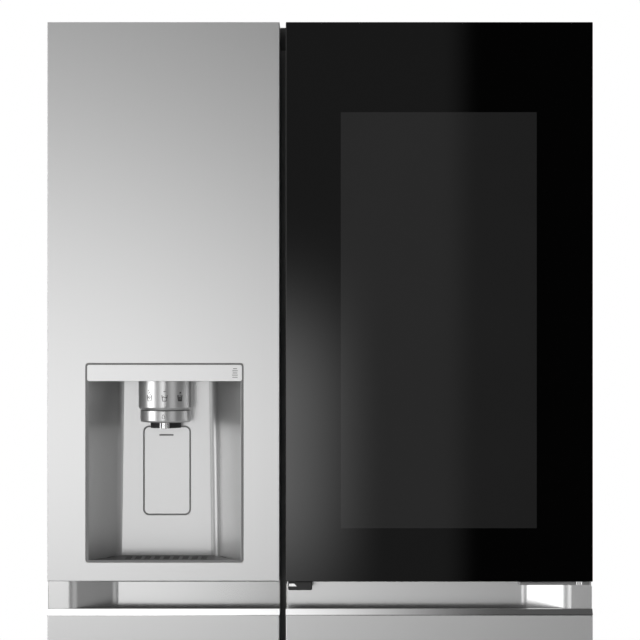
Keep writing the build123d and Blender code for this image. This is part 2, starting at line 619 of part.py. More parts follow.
def dispenser(core_cut):
    """The housing set in the freezer door and what hangs in it. core_cut collects the space it takes."""
    wall = 3.0
    bezel_back = front_y + 5.5
    outer = dispenser_space(wall, disp_floor - wall, disp_ceiling + wall, bezel_back)
    inner = dispenser_space(0, disp_floor, disp_ceiling, bezel_back - 1)
    pocket_x = lever_half_width + lever_gap
    pocket = (spout_x - pocket_x, spout_x + pocket_x, lever_bottom - lever_gap, lever_top + lever_gap)
    pocket_rear = -250.0
    shell = outer + block(
        pocket[0] - 4, pocket[1] + 4, recess_back_y, pocket_rear + 2.5, pocket[2] - 4, pocket[3] + 4
    )
    core_cut.append(shell)
    housing = shell - inner
    housing -= block(pocket[0], pocket[1], recess_back_y - 5, pocket_rear, pocket[2], pocket[3])
    housing -= rod("X", 2.6, pocket[0] - 2, pocket[1] + 2, (lever_axis_y, lever_axis_z))

    chute = ice_duct(Circle(chute_radius) - Circle(chute_bore))
    solid_chute = ice_duct(Circle(chute_radius))
    core_cut.append(solid_chute)
    housing -= solid_chute
    save("dispenser_housing", housing)

    trim_end = block(-600, 0, -400, -255, 1000, 1400)  # the duct's mouth is cut flush in the ice case
    save("ice_chute", chute & trim_end)

    bezel_x = (disp_x - disp_half_width, disp_x + disp_half_width)
    bezel = rounded_plate(*bezel_x, disp_bottom, disp_top, front_y, bezel_back, 4)
    mouth_x = (disp_x - mouth_half_width, disp_x + mouth_half_width)
    bezel -= rounded_plate(*mouth_x, mouth_bottom, mouth_top, front_y - 1, bezel_back + 1, 2)
    save("dispenser_bezel", bezel)
    core_cut.append(block(*bezel_x, core_front_y - 1, bezel_back, disp_bottom, disp_top))

    clip = block(spout_x - 60, spout_x + 60, -400, recess_back_y - 0.3, 1000, 1300)
    selector = rod("Z", selector_radius, selector_bottom, disp_ceiling, (spout_x, spout_y))
    selector = chamfer(selector.edges().group_by(Axis.Z)[0], 3)
    selector -= rod("Z", selector_radius - 4, selector_bottom + 4, 1300, (spout_x, spout_y))
    selector -= rod("Z", selector_radius - 8, 1100, 1300, (spout_x, spout_y))
    spout = rod("Z", spout_radius, spout_bottom, selector_bottom - 0.8, (spout_x, spout_y))
    spout = fillet(spout.edges().group_by(Axis.Z)[0], 4)
    spout += rod("Z", selector_radius - 8.2, selector_bottom - 2, 1160, (spout_x, spout_y))
    spout -= rod("Z", 35.5, 1100, 1300, (spout_x, spout_y))
    save("dispenser_rings", selector & clip, spout & clip)

    nozzle = rod("Z", 8, chute_bottom - 0.5, 1150, (spout_x, nozzle_y))
    nozzle -= rod("Z", 4.5, 1090, 1140, (spout_x, nozzle_y))
    nozzle += rod("Z", 5, 1145, 1188, (spout_x, nozzle_y))
    save("water_nozzle", nozzle)

    lever = rounded_plate(
        spout_x - lever_half_width, spout_x + lever_half_width, lever_bottom, lever_top, -275, -270, 8.5
    )
    lever += block(spout_x - 32, spout_x + 32, -270, -265, lever_axis_z - 6, lever_axis_z + 5)
    lever += rod("X", 2.5, pocket[0] - 1.8, pocket[1] + 1.8, (lever_axis_y, lever_axis_z))
    lever -= block(spout_x - 12, spout_x + 12, -276, -274.2, 1088, 1090.6)
    save("dispenser_lever", lever)

    tray_plate = dispenser_space(-3, disp_floor, disp_floor + 3, bezel_back + 2)
    for i in range(9):  # slots that let drips through
        x = disp_x - 64 + 16 * i
        tray_plate -= block(x - 5, x + 5, -345, -292, disp_floor - 1, disp_floor + 5)
    save("drip_tray", tray_plate)


def freezer_door():
    x0, x1 = -half_width, freezer_door_edge
    upper = block(x0, x1, front_y, door_rear_y, freezer_panel_bottom, door_top)
    upper = fillet(upper.edges().group_by(Axis.Y)[0], panel_edge_radius)
    inside_x = (x0 + sheet, x1 - sheet)
    inner_top = door_top - sheet
    upper -= block(*inside_x, core_front_y, door_rear_y + 1, freezer_panel_bottom + sheet, inner_top)
    upper -= block(*inside_x, panel_return_y, door_rear_y + 1, freezer_panel_bottom - 1, inner_top)
    upper -= hinge_notch(-1, freezer_notch_y)
    upper -= rounded_plate(
        disp_x - disp_half_width - 1, disp_x + disp_half_width + 1, disp_bottom - 1, disp_top + 1,
        front_y - 1, core_front_y + 1, 5,
    )
    save("freezer_door_panels", upper, lower_panel(-1))
    save(
        "freezer_handle_band",
        handle_band(-1, freezer_band_top, freezer_panel_bottom),
        *side_caps(-1, freezer_panel_bottom),
    )
    save("freezer_handle_lip", handle_lip(-1))

    core_cut = []
    dispenser(core_cut)
    core = block(*inside_x, core_front_y, door_rear_y, door_bottom + sheet, inner_top)
    core += block(
        disp_x - bulge_half_width, disp_x + bulge_half_width, door_rear_y, bulge_y, bulge_bottom, bulge_top
    )
    core -= recess_volume(-1, band_sheet, past_sides, recess_floor, freezer_band_top)
    core -= block(x0, x1, front_y - 5, panel_return_y, freezer_band_top - 1, freezer_panel_bottom + sheet)
    band_back = recess_deep_y + band_sheet
    tuck_z = (freezer_band_top - 1, freezer_panel_bottom)
    core -= block(-ramp_inner_x, x1, panel_return_y - 1, band_back, *tuck_z)
    core -= hinge_notch(-1, freezer_notch_y)
    core -= door_bores(-1)
    for piece in core_cut:
        core -= piece
    save("freezer_door_core", *slabs(core, recess_floor, freezer_panel_bottom + sheet, disp_top))

    # inner liner: a plate with dikes that carry the baskets, swollen behind the dispenser
    dike_x = (-391.0, -116.0)
    plate = block(x0 + 3, x1 - 3, door_rear_y, door_rear_y + 2, door_bottom + 4, door_top - 2)
    plate -= hinge_notch(-1, freezer_notch_y)
    bulge = (disp_x - bulge_half_width - 2, disp_x + bulge_half_width + 2)
    plate += block(*bulge, door_rear_y, bulge_y + 2, bulge_bottom - 2, bulge_top + 2)
    for dx0, dx1 in ((dike_x[0], dike_x[0] + 14), (dike_x[1] - 14, dike_x[1])):
        dike = block(dx0, dx1, door_rear_y, -205, 175, 1260)
        plate += fillet(dike.edges().filter_by(Axis.Z).group_by(Axis.Y)[-1], 4)
    plate += block(dike_x[0], dike_x[1], door_rear_y, -235, 160, 178)
    plate -= block(bulge[0] + 2, bulge[1] - 2, door_rear_y - 1, bulge_y, bulge_bottom, bulge_top)
    plate -= rod("Z", 45, 1236, 1330, (spout_x, -262))
    save("freezer_door_liner", plate)

    save(
        "freezer_door_gasket",
        gasket(-434, x1 - 10.3, door_rear_y + 2, case_front_y - gasket_gap, 98, notch_floor - 3),
    )

    baskets = [
        basket(dike_x[0] + 15, dike_x[1] - 15, -262.3, -176, z, z + 95) for z in (200, 430, 660)
    ]
    save("freezer_door_baskets", *baskets)

    case_wall = 4.0
    case = block(-391, -131, door_rear_y + 2.2, -142, 1264, 1676)
    case = fillet(case.edges().filter_by(Axis.Z).group_by(Axis.Y)[-1], 14)
    inside_x = (-391 + case_wall, -131 - case_wall)
    case -= block(*inside_x, door_rear_y + 6, -142 - case_wall, 1330, 1676 - case_wall)
    case -= block(-391 + 40, -131 - 40, -170, -135, 1380, 1560)  # way in to the ice bin
    case -= ice_duct(Circle(chute_radius))
    case -= rod("Z", 24, 1290, 1340, (spout_x, -236))
    save("ice_maker_case", case)


def basket(x0, x1, y0, y1, z0, z1):
    """A door basket: an open tray with a higher rail at the front."""
    return tray(x0, x1, y0, y1, z0, z1, 3) - block(x0 - 1, x1 + 1, y0 + 20, y1 - 3, z1 - 25, z1 + 1)


# ---------------------------------------------------------------- refrigerator door
def fridge_door():
    x0, x1 = fridge_door_edge, half_width
    save("fridge_door_lower_panel", lower_panel(1))
    band = handle_band(1, fridge_band_top, fridge_band_top + 18)
    save("fridge_handle_band", band, *side_caps(1, fridge_band_top))
    save("fridge_handle_lip", handle_lip(1))

    core = block(x0 + sheet, x1 - sheet, core_front_y, door_rear_y, door_bottom + sheet, fridge_band_top)
    core -= recess_volume(1, band_sheet, past_sides, recess_floor, fridge_band_top + 1)
    core -= door_bores(1)
    save("fridge_door_core", core)

    frame = block(x0 + sheet, x1 - sheet, inner_door_front_y, door_rear_y, fridge_band_top, door_top)
    ox0, ox1, oz0, oz1 = case_opening
    frame -= block(ox0, ox1, -400, 0, oz0, oz1)
    frame -= hinge_notch(1, fridge_notch_y)
    frame -= door_bores(1)
    frame -= block(*arm_pocket_x, -330, -285, outer_hinge_z - 0.5, door_top + 5)
    save("fridge_door_frame", frame)

    # door-in-door hinges: arms on the inner door with pins that the glass door turns on
    boss = rod("Z", 10, outer_hinge_z, outer_hinge_z + 4, (outer_pivot_x, outer_pivot_y))
    arm_outline = make_face(
        Polyline((334, -288), (384, -288), (384, -318), (outer_pivot_x, -336), (outer_pivot_x, -354),
                 (384, -340), (334, -318), (334, -288))
    )
    upper = Pos(0, 0, outer_hinge_z) * extrude(arm_outline, 4) + boss
    upper += rod("Z", outer_pin_radius, outer_hinge_z - 22, outer_hinge_z, (outer_pivot_x, outer_pivot_y))
    lower = soft_edges(block(*hinge_plate_x, -361, -318, *hinge_plate_z), 3)
    lower += block(420, 450, -350, -318, fridge_band_top, hinge_plate_z[1])
    lower += rod("Z", outer_pin_radius, hinge_plate_z[1], 868, (outer_pivot_x, outer_pivot_y))
    lower += rod("Z", 8, hinge_plate_z[1], glass_bottom - 0.3, (outer_pivot_x, outer_pivot_y))
    save("outer_door_hinges", upper, lower)

    # liner: a sleeve through the opening for the outer baskets, dikes below for the inner ones
    wall = 7.0
    sleeve_back = -192.0
    sleeve = block(ox0, ox1, inner_door_front_y, sleeve_back, oz0, oz1)
    sleeve -= block(ox0 + wall, ox1 - wall, -400, 0, oz0 + wall, oz1 - wall)
    plate = block(x0 + 3, x1 - 3, door_rear_y, door_rear_y + 2, door_bottom + 4, door_top - 2)
    plate -= block(ox0, ox1, -400, 0, oz0, oz1)
    plate -= hinge_notch(1, fridge_notch_y)
    for dx0, dx1 in ((ox0, ox0 + 14), (ox1 - 14, ox1)):
        dike = block(dx0, dx1, door_rear_y, -205, 175, oz0)
        plate += fillet(dike.edges().filter_by(Axis.Z).group_by(Axis.Y)[-1], 4)
    plate += block(ox0, ox1, door_rear_y, -235, 160, 178)
    save("fridge_door_liner", sleeve + plate)

    save(
        "fridge_door_gasket",
        gasket(x0 + 10.3, 434, door_rear_y + 2, case_front_y - gasket_gap, 98, notch_floor - 3),
    )

    outer_baskets = [
        basket(ox0 + wall + 1, ox1 - wall - 1, -311, -196, z, z + 90) for z in (889, 1165, 1440)
    ]
    inner_baskets = [basket(ox0 + 15, ox1 - 15, -262.3, -182, z, z + 100) for z in (200, 560)]
    save("fridge_door_baskets", outer_baskets[0], *inner_baskets)
    save("fridge_basket_middle", outer_baskets[1])
    save("fridge_basket_upper", outer_baskets[2])


def door_in_door():
    x0, x1 = fridge_door_edge, half_width
    glass = block(x0, x1, front_y, glass_rear_y, glass_bottom, door_top)
    glass = fillet(glass.edges().filter_by(Axis.Y), 1.5)
    glass = chamfer(glass.faces().sort_by(Axis.Y)[0].edges(), 0.6)
    save("outer_door_glass", glass)

    frame = block(x0 + 1, x1 - 1, glass_rear_y, outer_door_rear_y, glass_bottom + 1, door_top - 1)
    frame -= block(window[0], window[1], -400, 0, window[2], window[3])
    # hinge relief along the top, bores for both pins, the release button's well
    relief_y = (outer_pivot_y - 12, outer_door_rear_y + 5)
    frame -= block(326, half_width + 5, *relief_y, outer_hinge_z - 4, door_top + 5)
    frame -= rod("Z", outer_bore_radius, outer_hinge_z - 26, outer_hinge_z, (outer_pivot_x, outer_pivot_y))
    frame -= rod("Z", outer_bore_radius, 840, 872, (outer_pivot_x, outer_pivot_y))
    bx0, bx1, bz0, bz1 = button_box
    frame -= block(bx0 - 0.5, bx1 + 0.5, button_y[0] - 0.5, button_y[1] + 0.5, 840, bz1 + button_travel + 1)
    frame -= block(bx0 + 8.5, bx1 - 8.5, button_y[0] + 3.5, button_y[1] - 3.5, 840, bz1 + 22)
    save("outer_door_frame", frame)

    panes = [block(window[0], window[1], y, y + 4, window[2], window[3]) for y in (-350.0, -329.5)]
    save("outer_door_glazing", *panes)
    gasket_y = (outer_door_rear_y, inner_door_front_y - gasket_gap)
    save("outer_door_gasket", gasket(x0 + 14, 430, *gasket_y, 866, 1736))

    button = rounded_plate(bx0, bx1, bz0, bz1, *button_y, 3)
    button += block(bx0 + 9, bx1 - 9, button_y[0] + 4, button_y[1] - 4, bz1 - 1, bz1 + 15)
    save("outer_door_button", button)


cabinet_shell()
insulation_and_liners()
covers_and_hinges()
feet_and_rollers()
refrigeration()
interior()
freezer_door()
fridge_door()
door_in_door()
print("nodes", len([f for f in os.listdir("parts") if f.endswith(".step")]))
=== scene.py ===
import json
import math

import bmesh
import bpy
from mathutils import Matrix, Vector


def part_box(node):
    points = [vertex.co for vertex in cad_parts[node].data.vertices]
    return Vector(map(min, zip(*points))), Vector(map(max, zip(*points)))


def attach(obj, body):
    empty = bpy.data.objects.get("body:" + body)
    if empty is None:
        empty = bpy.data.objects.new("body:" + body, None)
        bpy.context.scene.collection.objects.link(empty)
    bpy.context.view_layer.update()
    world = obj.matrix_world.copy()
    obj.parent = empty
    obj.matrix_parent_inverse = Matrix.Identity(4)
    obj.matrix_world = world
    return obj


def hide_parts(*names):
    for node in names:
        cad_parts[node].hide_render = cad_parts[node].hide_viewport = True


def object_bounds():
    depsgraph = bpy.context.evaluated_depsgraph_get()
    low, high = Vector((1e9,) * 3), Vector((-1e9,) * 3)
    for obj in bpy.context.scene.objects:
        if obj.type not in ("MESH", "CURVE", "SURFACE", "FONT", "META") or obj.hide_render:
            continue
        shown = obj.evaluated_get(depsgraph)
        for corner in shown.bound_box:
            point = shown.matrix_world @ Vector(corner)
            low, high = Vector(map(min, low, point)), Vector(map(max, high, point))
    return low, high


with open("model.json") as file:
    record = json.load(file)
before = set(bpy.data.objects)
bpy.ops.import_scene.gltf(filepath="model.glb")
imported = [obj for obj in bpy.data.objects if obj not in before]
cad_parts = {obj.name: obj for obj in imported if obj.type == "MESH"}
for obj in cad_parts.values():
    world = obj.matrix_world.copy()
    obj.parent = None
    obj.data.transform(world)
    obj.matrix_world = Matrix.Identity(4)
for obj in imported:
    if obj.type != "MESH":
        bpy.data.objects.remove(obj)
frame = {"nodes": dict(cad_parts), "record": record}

low_before, high_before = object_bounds()
scene = bpy.context.scene
MM = 0.001
WELD = 2e-6  # metres; vertices of CAD triangles closer than this are one
FLAT_ANGLE = 0.6  # degrees; CAD triangles that meet flatter than this are one face
SMOOTH_ANGLE = 38  # degrees; sharper edges keep their crease
CRISP_ANGLE = 30  # degrees; the same for small moulded parts
TUBE_ANGLE = 50  # degrees; the same for tubes and wires
SOFTENED_ANGLE = 32  # degrees; sharper edges of the CAD nodes are rounded off


# ---------------------------------------------------------------- shaders written as arithmetic
class Value:
    """A number, vector or colour inside a node tree."""

    def __init__(self, tree, socket):
        self.tree = tree
        self.socket = socket

    def math(self, operation, *others):
        node = self.tree.nodes.new("ShaderNodeMath")
        node.operation = operation
        for i, value in enumerate((self, *others)):
            feed(self.tree, node.inputs[i], value)
        return Value(self.tree, node.outputs[0])

    def __add__(self, other):
        return self.math("ADD", other)

    def __sub__(self, other):
        return self.math("SUBTRACT", other)

    def __mul__(self, other):
        return self.math("MULTIPLY", other)

    def __truediv__(self, other):
        return self.math("DIVIDE", other)

    def step(self, start, end, low=0.0, high=1.0):
        """Goes smoothly from low to high as the value goes from start to end."""
        node = self.tree.nodes.new("ShaderNodeMapRange")
        node.interpolation_type = "SMOOTHSTEP"
        feed(self.tree, node.inputs["Value"], self)
        limits = {"From Min": start, "From Max": end, "To Min": low, "To Max": high}
        for name, number in limits.items():
            node.inputs[name].default_value = number
        return Value(self.tree, node.outputs["Result"])

    def span(self, start, end, soft):
        """1 between start and end, 0 outside, with soft edges."""
        return self.step(start - soft, start + soft) * self.step(end - soft, end + soft, 1.0, 0.0)


def feed(tree, socket, value):
    if isinstance(value, Value):
        tree.links.new(value.socket, socket)
    else:
        socket.default_value = value


def split(tree, vector):
    node = tree.nodes.new("ShaderNodeSeparateXYZ")
    tree.links.new(vector, node.inputs[0])
    return [Value(tree, out) for out in node.outputs]


def scaled(tree, vector, scale):
    node = tree.nodes.new("ShaderNodeVectorMath")
    node.operation = "MULTIPLY"
    tree.links.new(vector, node.inputs[0])
    node.inputs[1].default_value = scale
    return node.outputs[0]


def noise(tree, vector, scale, detail, rough=0.5):
    node = tree.nodes.new("ShaderNodeTexNoise")
    node.inputs["Scale"].default_value = 1.0
    node.inputs["Detail"].default_value = detail
    node.inputs["Roughness"].default_value = rough
    tree.links.new(scaled(tree, vector, scale), node.inputs["Vector"])
    return Value(tree, node.outputs["Fac"])


def cell_colors(tree, vector, scale):
    """A colour of its own for each cell of a crystal pattern."""
    node = tree.nodes.new("ShaderNodeTexVoronoi")
    node.inputs["Scale"].default_value = 1.0
    tree.links.new(scaled(tree, vector, scale), node.inputs["Vector"])
    return node.outputs["Color"]


def tint(tree, value, dark, light):
    """A colour between two, picked by a value from 0 to 1; light may be a value too."""
    node = tree.nodes.new("ShaderNodeMix")
    node.data_type = "RGBA"
    feed(tree, node.inputs["Factor"], value)
    node.inputs["A"].default_value = (*dark, 1)
    feed(tree, node.inputs["B"], light if isinstance(light, Value) else (*light, 1))
    return Value(tree, node.outputs["Result"])


def bump(tree, height, strength, distance):
    node = tree.nodes.new("ShaderNodeBump")
    node.inputs["Strength"].default_value = strength
    node.inputs["Distance"].default_value = distance
    feed(tree, node.inputs["Height"], height)
    return Value(tree, node.outputs["Normal"])


class Finish:
    """A material with one principled shader, fed from the object's own coordinates."""

    def __init__(self, name, color, **sockets):
        self.material = bpy.data.materials.new(name)
        self.material.use_nodes = True
        self.tree = self.material.node_tree
        self.shader = next(n for n in self.tree.nodes if n.type == "BSDF_PRINCIPLED")
        self.output = next(n for n in self.tree.nodes if n.type == "OUTPUT_MATERIAL")
        coordinates = self.tree.nodes.new("ShaderNodeTexCoord")
        self.at = coordinates.outputs["Object"]
        self.set("Base Color", (*color, 1))
        for key, value in sockets.items():
            self.set(key.replace("_", " ").title().replace("Ior", "IOR"), value)

    def set(self, name, value):
        feed(self.tree, self.shader.inputs[name], value)


def grey(level):
    return (level, level, level)


MATERIALS = {}
# finishes that belong to another slot of the record
# nodes with a finish of their own within their slot
OTHER_FINISH = {"drip_tray": "tray_grey"}
# sheet metal: colour level, roughness, stretch of the shine
BRUSHED = {
    "brushed_stainless": (0.655, 0.28, 0.46),
    "satin_band": (0.70, 0.27, 0.40),
    # the freezer door's band: the same steel as the fridge door's band, made a little darker as painted
    # shade
    "band_painted_shade": (0.66, 0.27, 0.40),
    "polished_lip": (0.88, 0.06, 0.0),
}
BRUSH_CONTRAST = 0.004
CLEAR_IOR = 1.46
# moulded, painted and cast surfaces: dark and light colour, grains per metre, bump strength and height,
# roughness, metallic
SPECKLED = {
    "cabinet_grey": (grey(0.20), grey(0.235), 700, 0.35, 0.0002, 0.42, 0.35),
    "hinge_steel": (grey(0.30), grey(0.36), 500, 0.2, 0.0001, 0.36, 1.0),
    "foam": ((0.62, 0.54, 0.36), (0.72, 0.64, 0.45), 420, 0.8, 0.0008, 0.9, 0.0),
    "white_liner": (grey(0.80), grey(0.83), 260, 0.06, 0.0002, 0.28, 0.0),
    "dark_trim": (grey(0.022), grey(0.034), 900, 0.3, 0.0001, 0.38, 0.0),
    "gasket": (grey(0.060), grey(0.085), 600, 0.25, 0.0001, 0.55, 0.0),
    "silver_trim": (grey(0.64), grey(0.68), 1500, 0.05, 0.00005, 0.30, 0.6),
    "recess_grey": (grey(0.59), grey(0.63), 1300, 0.04, 0.00005, 0.34, 0.8),
    "recess_plate": (grey(0.86), grey(0.88), 1300, 0.03, 0.00005, 0.34, 0.9),
    "light_strip": (grey(0.88), grey(0.90), 1500, 0.03, 0.00005, 0.32, 0.9),
    "bezel_line": (grey(0.27), grey(0.30), 1500, 0.05, 0.00005, 0.4, 0.2),
    "ring_grey": (grey(0.66), grey(0.69), 1400, 0.04, 0.00005, 0.29, 1.0),
    "black_plastic": (grey(0.016), grey(0.024), 900, 0.2, 0.0001, 0.30, 0.0),
    "black_matte": (grey(0.020), grey(0.032), 700, 0.4, 0.0002, 0.6, 0.0),
    "chrome": (grey(0.80), grey(0.84), 300, 0.02, 0.00005, 0.08, 1.0),
    "compressor_black": (grey(0.012), grey(0.018), 240, 0.35, 0.0004, 0.22, 0.0),
    "copper_tube": (grey(0.014), grey(0.022), 180, 0.1, 0.0002, 0.3, 0.0),
    "tray_grey": (grey(0.10), grey(0.13), 1200, 0.1, 0.0001, 0.42, 0.5),
    "copper": ((0.70, 0.30, 0.16), (0.80, 0.40, 0.24), 180, 0.1, 0.0002, 0.3, 1.0),
    "lamp_lens": (grey(0.86), grey(0.90), 900, 0.05, 0.0001, 0.25, 0.0),
    "fin_aluminium": (grey(0.66), grey(0.74), 420, 0.2, 0.0001, 0.34, 1.0),
    "white_plastic": (grey(0.74), grey(0.78), 800, 0.12, 0.0001, 0.35, 0.0),
    "black_rubber": (grey(0.018), grey(0.03), 500, 0.5, 0.0003, 0.72, 0.0),
    "zinc": (grey(0.55), grey(0.66), 350, 0.15, 0.0001, 0.32, 1.0),
}


def brushed(name, level, roughness, stretch):
    """Sheet metal with fine upright brush lines, so its shine spreads sideways."""
    f = Finish(name, grey(level), metallic=1.0, roughness=roughness, anisotropic=stretch)
    level_way = f.tree.nodes.new("ShaderNodeTangent")
    level_way.direction_type = "RADIAL"
    level_way.axis = "Z"
    f.set("Tangent", Value(f.tree, level_way.outputs[0]))
    fine = noise(f.tree, f.at, (1900, 1900, 7), 3.0, 0.6)
    coarse = noise(f.tree, f.at, (230, 230, 1.2), 2.0)
    streaks = fine * 0.85 + coarse * 0.15
    dark, light = grey(level * (1 - BRUSH_CONTRAST)), grey(level * (1 + BRUSH_CONTRAST))
    f.set("Base Color", tint(f.tree, streaks.step(0.3, 0.7), dark, light))
    f.set("Roughness", streaks * (0.06 * roughness) + 0.97 * roughness)
    f.set("Normal", bump(f.tree, fine, 0.03, 0.00002))
    return f


def speckled(name, dark, light, scale, strength, distance, roughness, metallic=0.0):
    """Moulded or painted surface with a fine all-over grain."""
    f = Finish(name, dark, roughness=roughness, metallic=metallic)
    grain = noise(f.tree, f.at, (scale, scale, scale), 3.0, 0.6)
    f.set("Base Color", tint(f.tree, grain.step(0.3, 0.7), dark, light))
    f.set("Normal", bump(f.tree, grain, strength, distance))
    return f


def see_through(name, tone, haze, roughness):
    """Thin clear sheet: a tinted window with a surface reflection and a little haze."""
    f = Finish(name, tone, roughness=0.35)
    tree = f.tree
    clear = tree.nodes.new("ShaderNodeBsdfTransparent")
    clear.inputs["Color"].default_value = (*tone, 1)
    shine = tree.nodes.new("ShaderNodeBsdfGlossy")
    shine.inputs["Roughness"].default_value = roughness
    shine.inputs["Color"].default_value = (1, 1, 1, 1)
    fresnel = tree.nodes.new("ShaderNodeFresnel")
    fresnel.inputs["IOR"].default_value = CLEAR_IOR
    ripple = noise(tree, f.at, (30, 30, 30), 2.0)
    feed(tree, fresnel.inputs["Normal"], bump(tree, ripple, 0.05, 0.0004))
    hazed = tree.nodes.new("ShaderNodeMixShader")
    feed(tree, hazed.inputs[0], ripple * (0.6 * haze) + 0.7 * haze)
    tree.links.new(clear.outputs[0], hazed.inputs[1])
    tree.links.new(f.shader.outputs[0], hazed.inputs[2])
    both = tree.nodes.new("ShaderNodeMixShader")
    tree.links.new(fresnel.outputs[0], both.inputs[0])
    tree.links.new(hazed.outputs[0], both.inputs[1])
    tree.links.new(shine.outputs[0], both.inputs[2])
    tree.links.new(both.outputs[0], f.output.inputs["Surface"])
    return f


def window_glass():
    """Black mirror glass with a slightly lighter window in it."""
    f = Finish("black_glass", grey(0.001), roughness=0.02, ior=1.52)
    lo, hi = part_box("outer_door_glazing")
    x, y, z = split(f.tree, f.at)
    window = x.span(lo.x, hi.x, 0.0005) * z.span(lo.z, hi.z, 0.0005)
    smoke = noise(f.tree, f.at, (5, 5, 5), 2.0).step(0.2, 0.8)
    lit = tint(f.tree, smoke, grey(0.0222), grey(0.0240))
    f.set("Base Color", tint(f.tree, window, grey(0.0008), lit))
    ripple = noise(f.tree, f.at, (3, 3, 3), 1.0)
    f.set("Normal", bump(f.tree, ripple, 0.02, 0.002))
    return f


def spangled(name):
    """Zinc coated sheet with its crystal pattern."""
    f = Finish(name, grey(0.5), metallic=0.9, roughness=0.4)
    shade = split(f.tree, cell_colors(f.tree, f.at, (90, 90, 90)))[0]
    f.set("Base Color", tint(f.tree, shade, grey(0.42), grey(0.58)))
    f.set("Roughness", shade * 0.16 + 0.34)
    return f


def make_materials():
    for name, numbers in BRUSHED.items():
        MATERIALS[name] = brushed(name, *numbers)
    for name, numbers in SPECKLED.items():
        MATERIALS[name] = speckled(name, *numbers)
    MATERIALS["galvanised"] = spangled("galvanised")
    MATERIALS["black_glass"] = window_glass()
    MATERIALS["clear_glass"] = see_through("clear_glass", (0.93, 0.97, 0.955), 0.02, 0.02)
    MATERIALS["clear_bin"] = see_through("clear_bin", (0.93, 0.95, 0.96), 0.14, 0.06)


# ---------------------------------------------------------------- pieces
def make_object(name, mesh, finish, smooth_angle=SMOOTH_ANGLE):
    mesh.polygons.foreach_set("use_smooth", [True] * len(mesh.polygons))
    mesh.set_sharp_from_angle(angle=math.radians(smooth_angle))
    mesh.materials.clear()
    mesh.materials.append(MATERIALS[finish].material)
    obj = bpy.data.objects.new(name, mesh)
    scene.collection.objects.link(obj)
    even = obj.modifiers.new("normals", "WEIGHTED_NORMAL")
    even.keep_sharp = True
    return obj


def built(name, bm, body, slot, stands_for=(), smooth_angle=SMOOTH_ANGLE):
    """A piece from a shape in millimetres."""
    bmesh.ops.scale(bm, vec=(MM, MM, MM), verts=bm.verts)
    bmesh.ops.recalc_face_normals(bm, faces=bm.faces)
    mesh = bpy.data.meshes.new(name)
    bm.to_mesh(mesh)
    bm.free()
    obj = make_object(name, mesh, slot, smooth_angle)
    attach(obj, body)
    if stands_for:
        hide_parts(*stands_for)


NODE_BODY = {n: b for b, members in frame["record"]["behaviour"]["bodies"].items() for n in members}
NODE_SLOT = {}
for material in frame["record"]["materials"]:
    for member in material.get("nodes", []):
        NODE_SLOT[member] = material["slot"]
for part in frame["record"]["subparts"]:
    if "material_slot" in part:
        NODE_SLOT.setdefault(part["node"], part["material_slot"])


def node_mesh(node):
    """The CAD node's surface with its triangles joined up into flat faces."""
    bm = bmesh.new()
    bm.from_mesh(frame["nodes"][node].data)
    bmesh.ops.remove_doubles(bm, verts=bm.verts, dist=WELD)
    bmesh.ops.dissolve_limit(bm, angle_limit=math.radians(FLAT_ANGLE), verts=bm.verts, edges=bm.edges)
    return bm


def soften(node, width):
    """The node again, with the rounded edges that a pressed or moulded part has."""
    bm = node_mesh(node)
    draft = bpy.data.meshes.new(node + "_draft")
    bm.to_mesh(draft)
    bm.free()
    holder = bpy.data.objects.new(node + "_draft", draft)
    scene.collection.objects.link(holder)
    modifier = holder.modifiers.new("edges", "BEVEL")
    modifier.width = width * MM
    modifier.segments = 2
    modifier.limit_method = "ANGLE"
    modifier.angle_limit = math.radians(SOFTENED_ANGLE)
    evaluated = holder.evaluated_get(bpy.context.evaluated_depsgraph_get())
    mesh = bpy.data.meshes.new_from_object(evaluated)
    mesh.name = node + "_finished"
    bpy.data.objects.remove(holder)
    bpy.data.meshes.remove(draft)
    slot = NODE_SLOT[node]
    obj = make_object(node + "_finished", mesh, OTHER_FINISH.get(node, slot))
    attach(obj, NODE_BODY[node])
    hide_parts(node)


# rounding of a CAD node's edges in millimetres, by its slot
EDGE = {
    "black_glass": 0.5, "brushed_stainless": 0.35, "clear_glass": 0.8, "foam": 0.5, "galvanised": 0.3,
    "fin_aluminium": 0.1, "copper_tube": 0.3,
}
USUAL_EDGE = 0.9
GASKETS = ("freezer_door_gasket", "fridge_door_gasket", "outer_door_gasket")
FEET = ("levelling_foot_left", "levelling_foot_right")
# nodes that get a shape of their own below
BUILT = {
    "freezer_handle_band", "fridge_handle_band", "freezer_handle_lip", "fridge_handle_lip",
    "dispenser_rings", "dispenser_bezel", "dispenser_lever", "water_nozzle", "outer_door_button",
    "condenser_fan", "evaporator_fan", "water_valve", *GASKETS, *FEET,
}


def finish_nodes():
    for node in frame["nodes"]:
        if node not in BUILT:
            soften(node, EDGE.get(NODE_SLOT[node], USUAL_EDGE))


# ---------------------------------------------------------------- shapes, in millimetres
def arc_path(points, radii, steps=8):
    """The open path through points, its inner corners rounded."""
    path = [Vector(points[0])]
    for i in range(1, len(points) - 1):
        before, corner, after = (Vector(points[j]) for j in (i - 1, i, i + 1))
        to_before, to_after = (before - corner).normalized(), (after - corner).normalized()
        half = to_before.angle(to_after) / 2
        reach = radii[i - 1] / math.tan(half)
        centre = corner + (to_before + to_after).normalized() * (radii[i - 1] / math.sin(half))
        start, end = corner + to_before * reach - centre, corner + to_after * reach - centre
        turn = start.angle(end)
        for k in range(steps + 1):
            t = k / steps
            spoke = start * math.sin((1 - t) * turn) + end * math.sin(t * turn)
            path.append(centre + spoke / math.sin(turn))
    path.append(Vector(points[-1]))
    return path


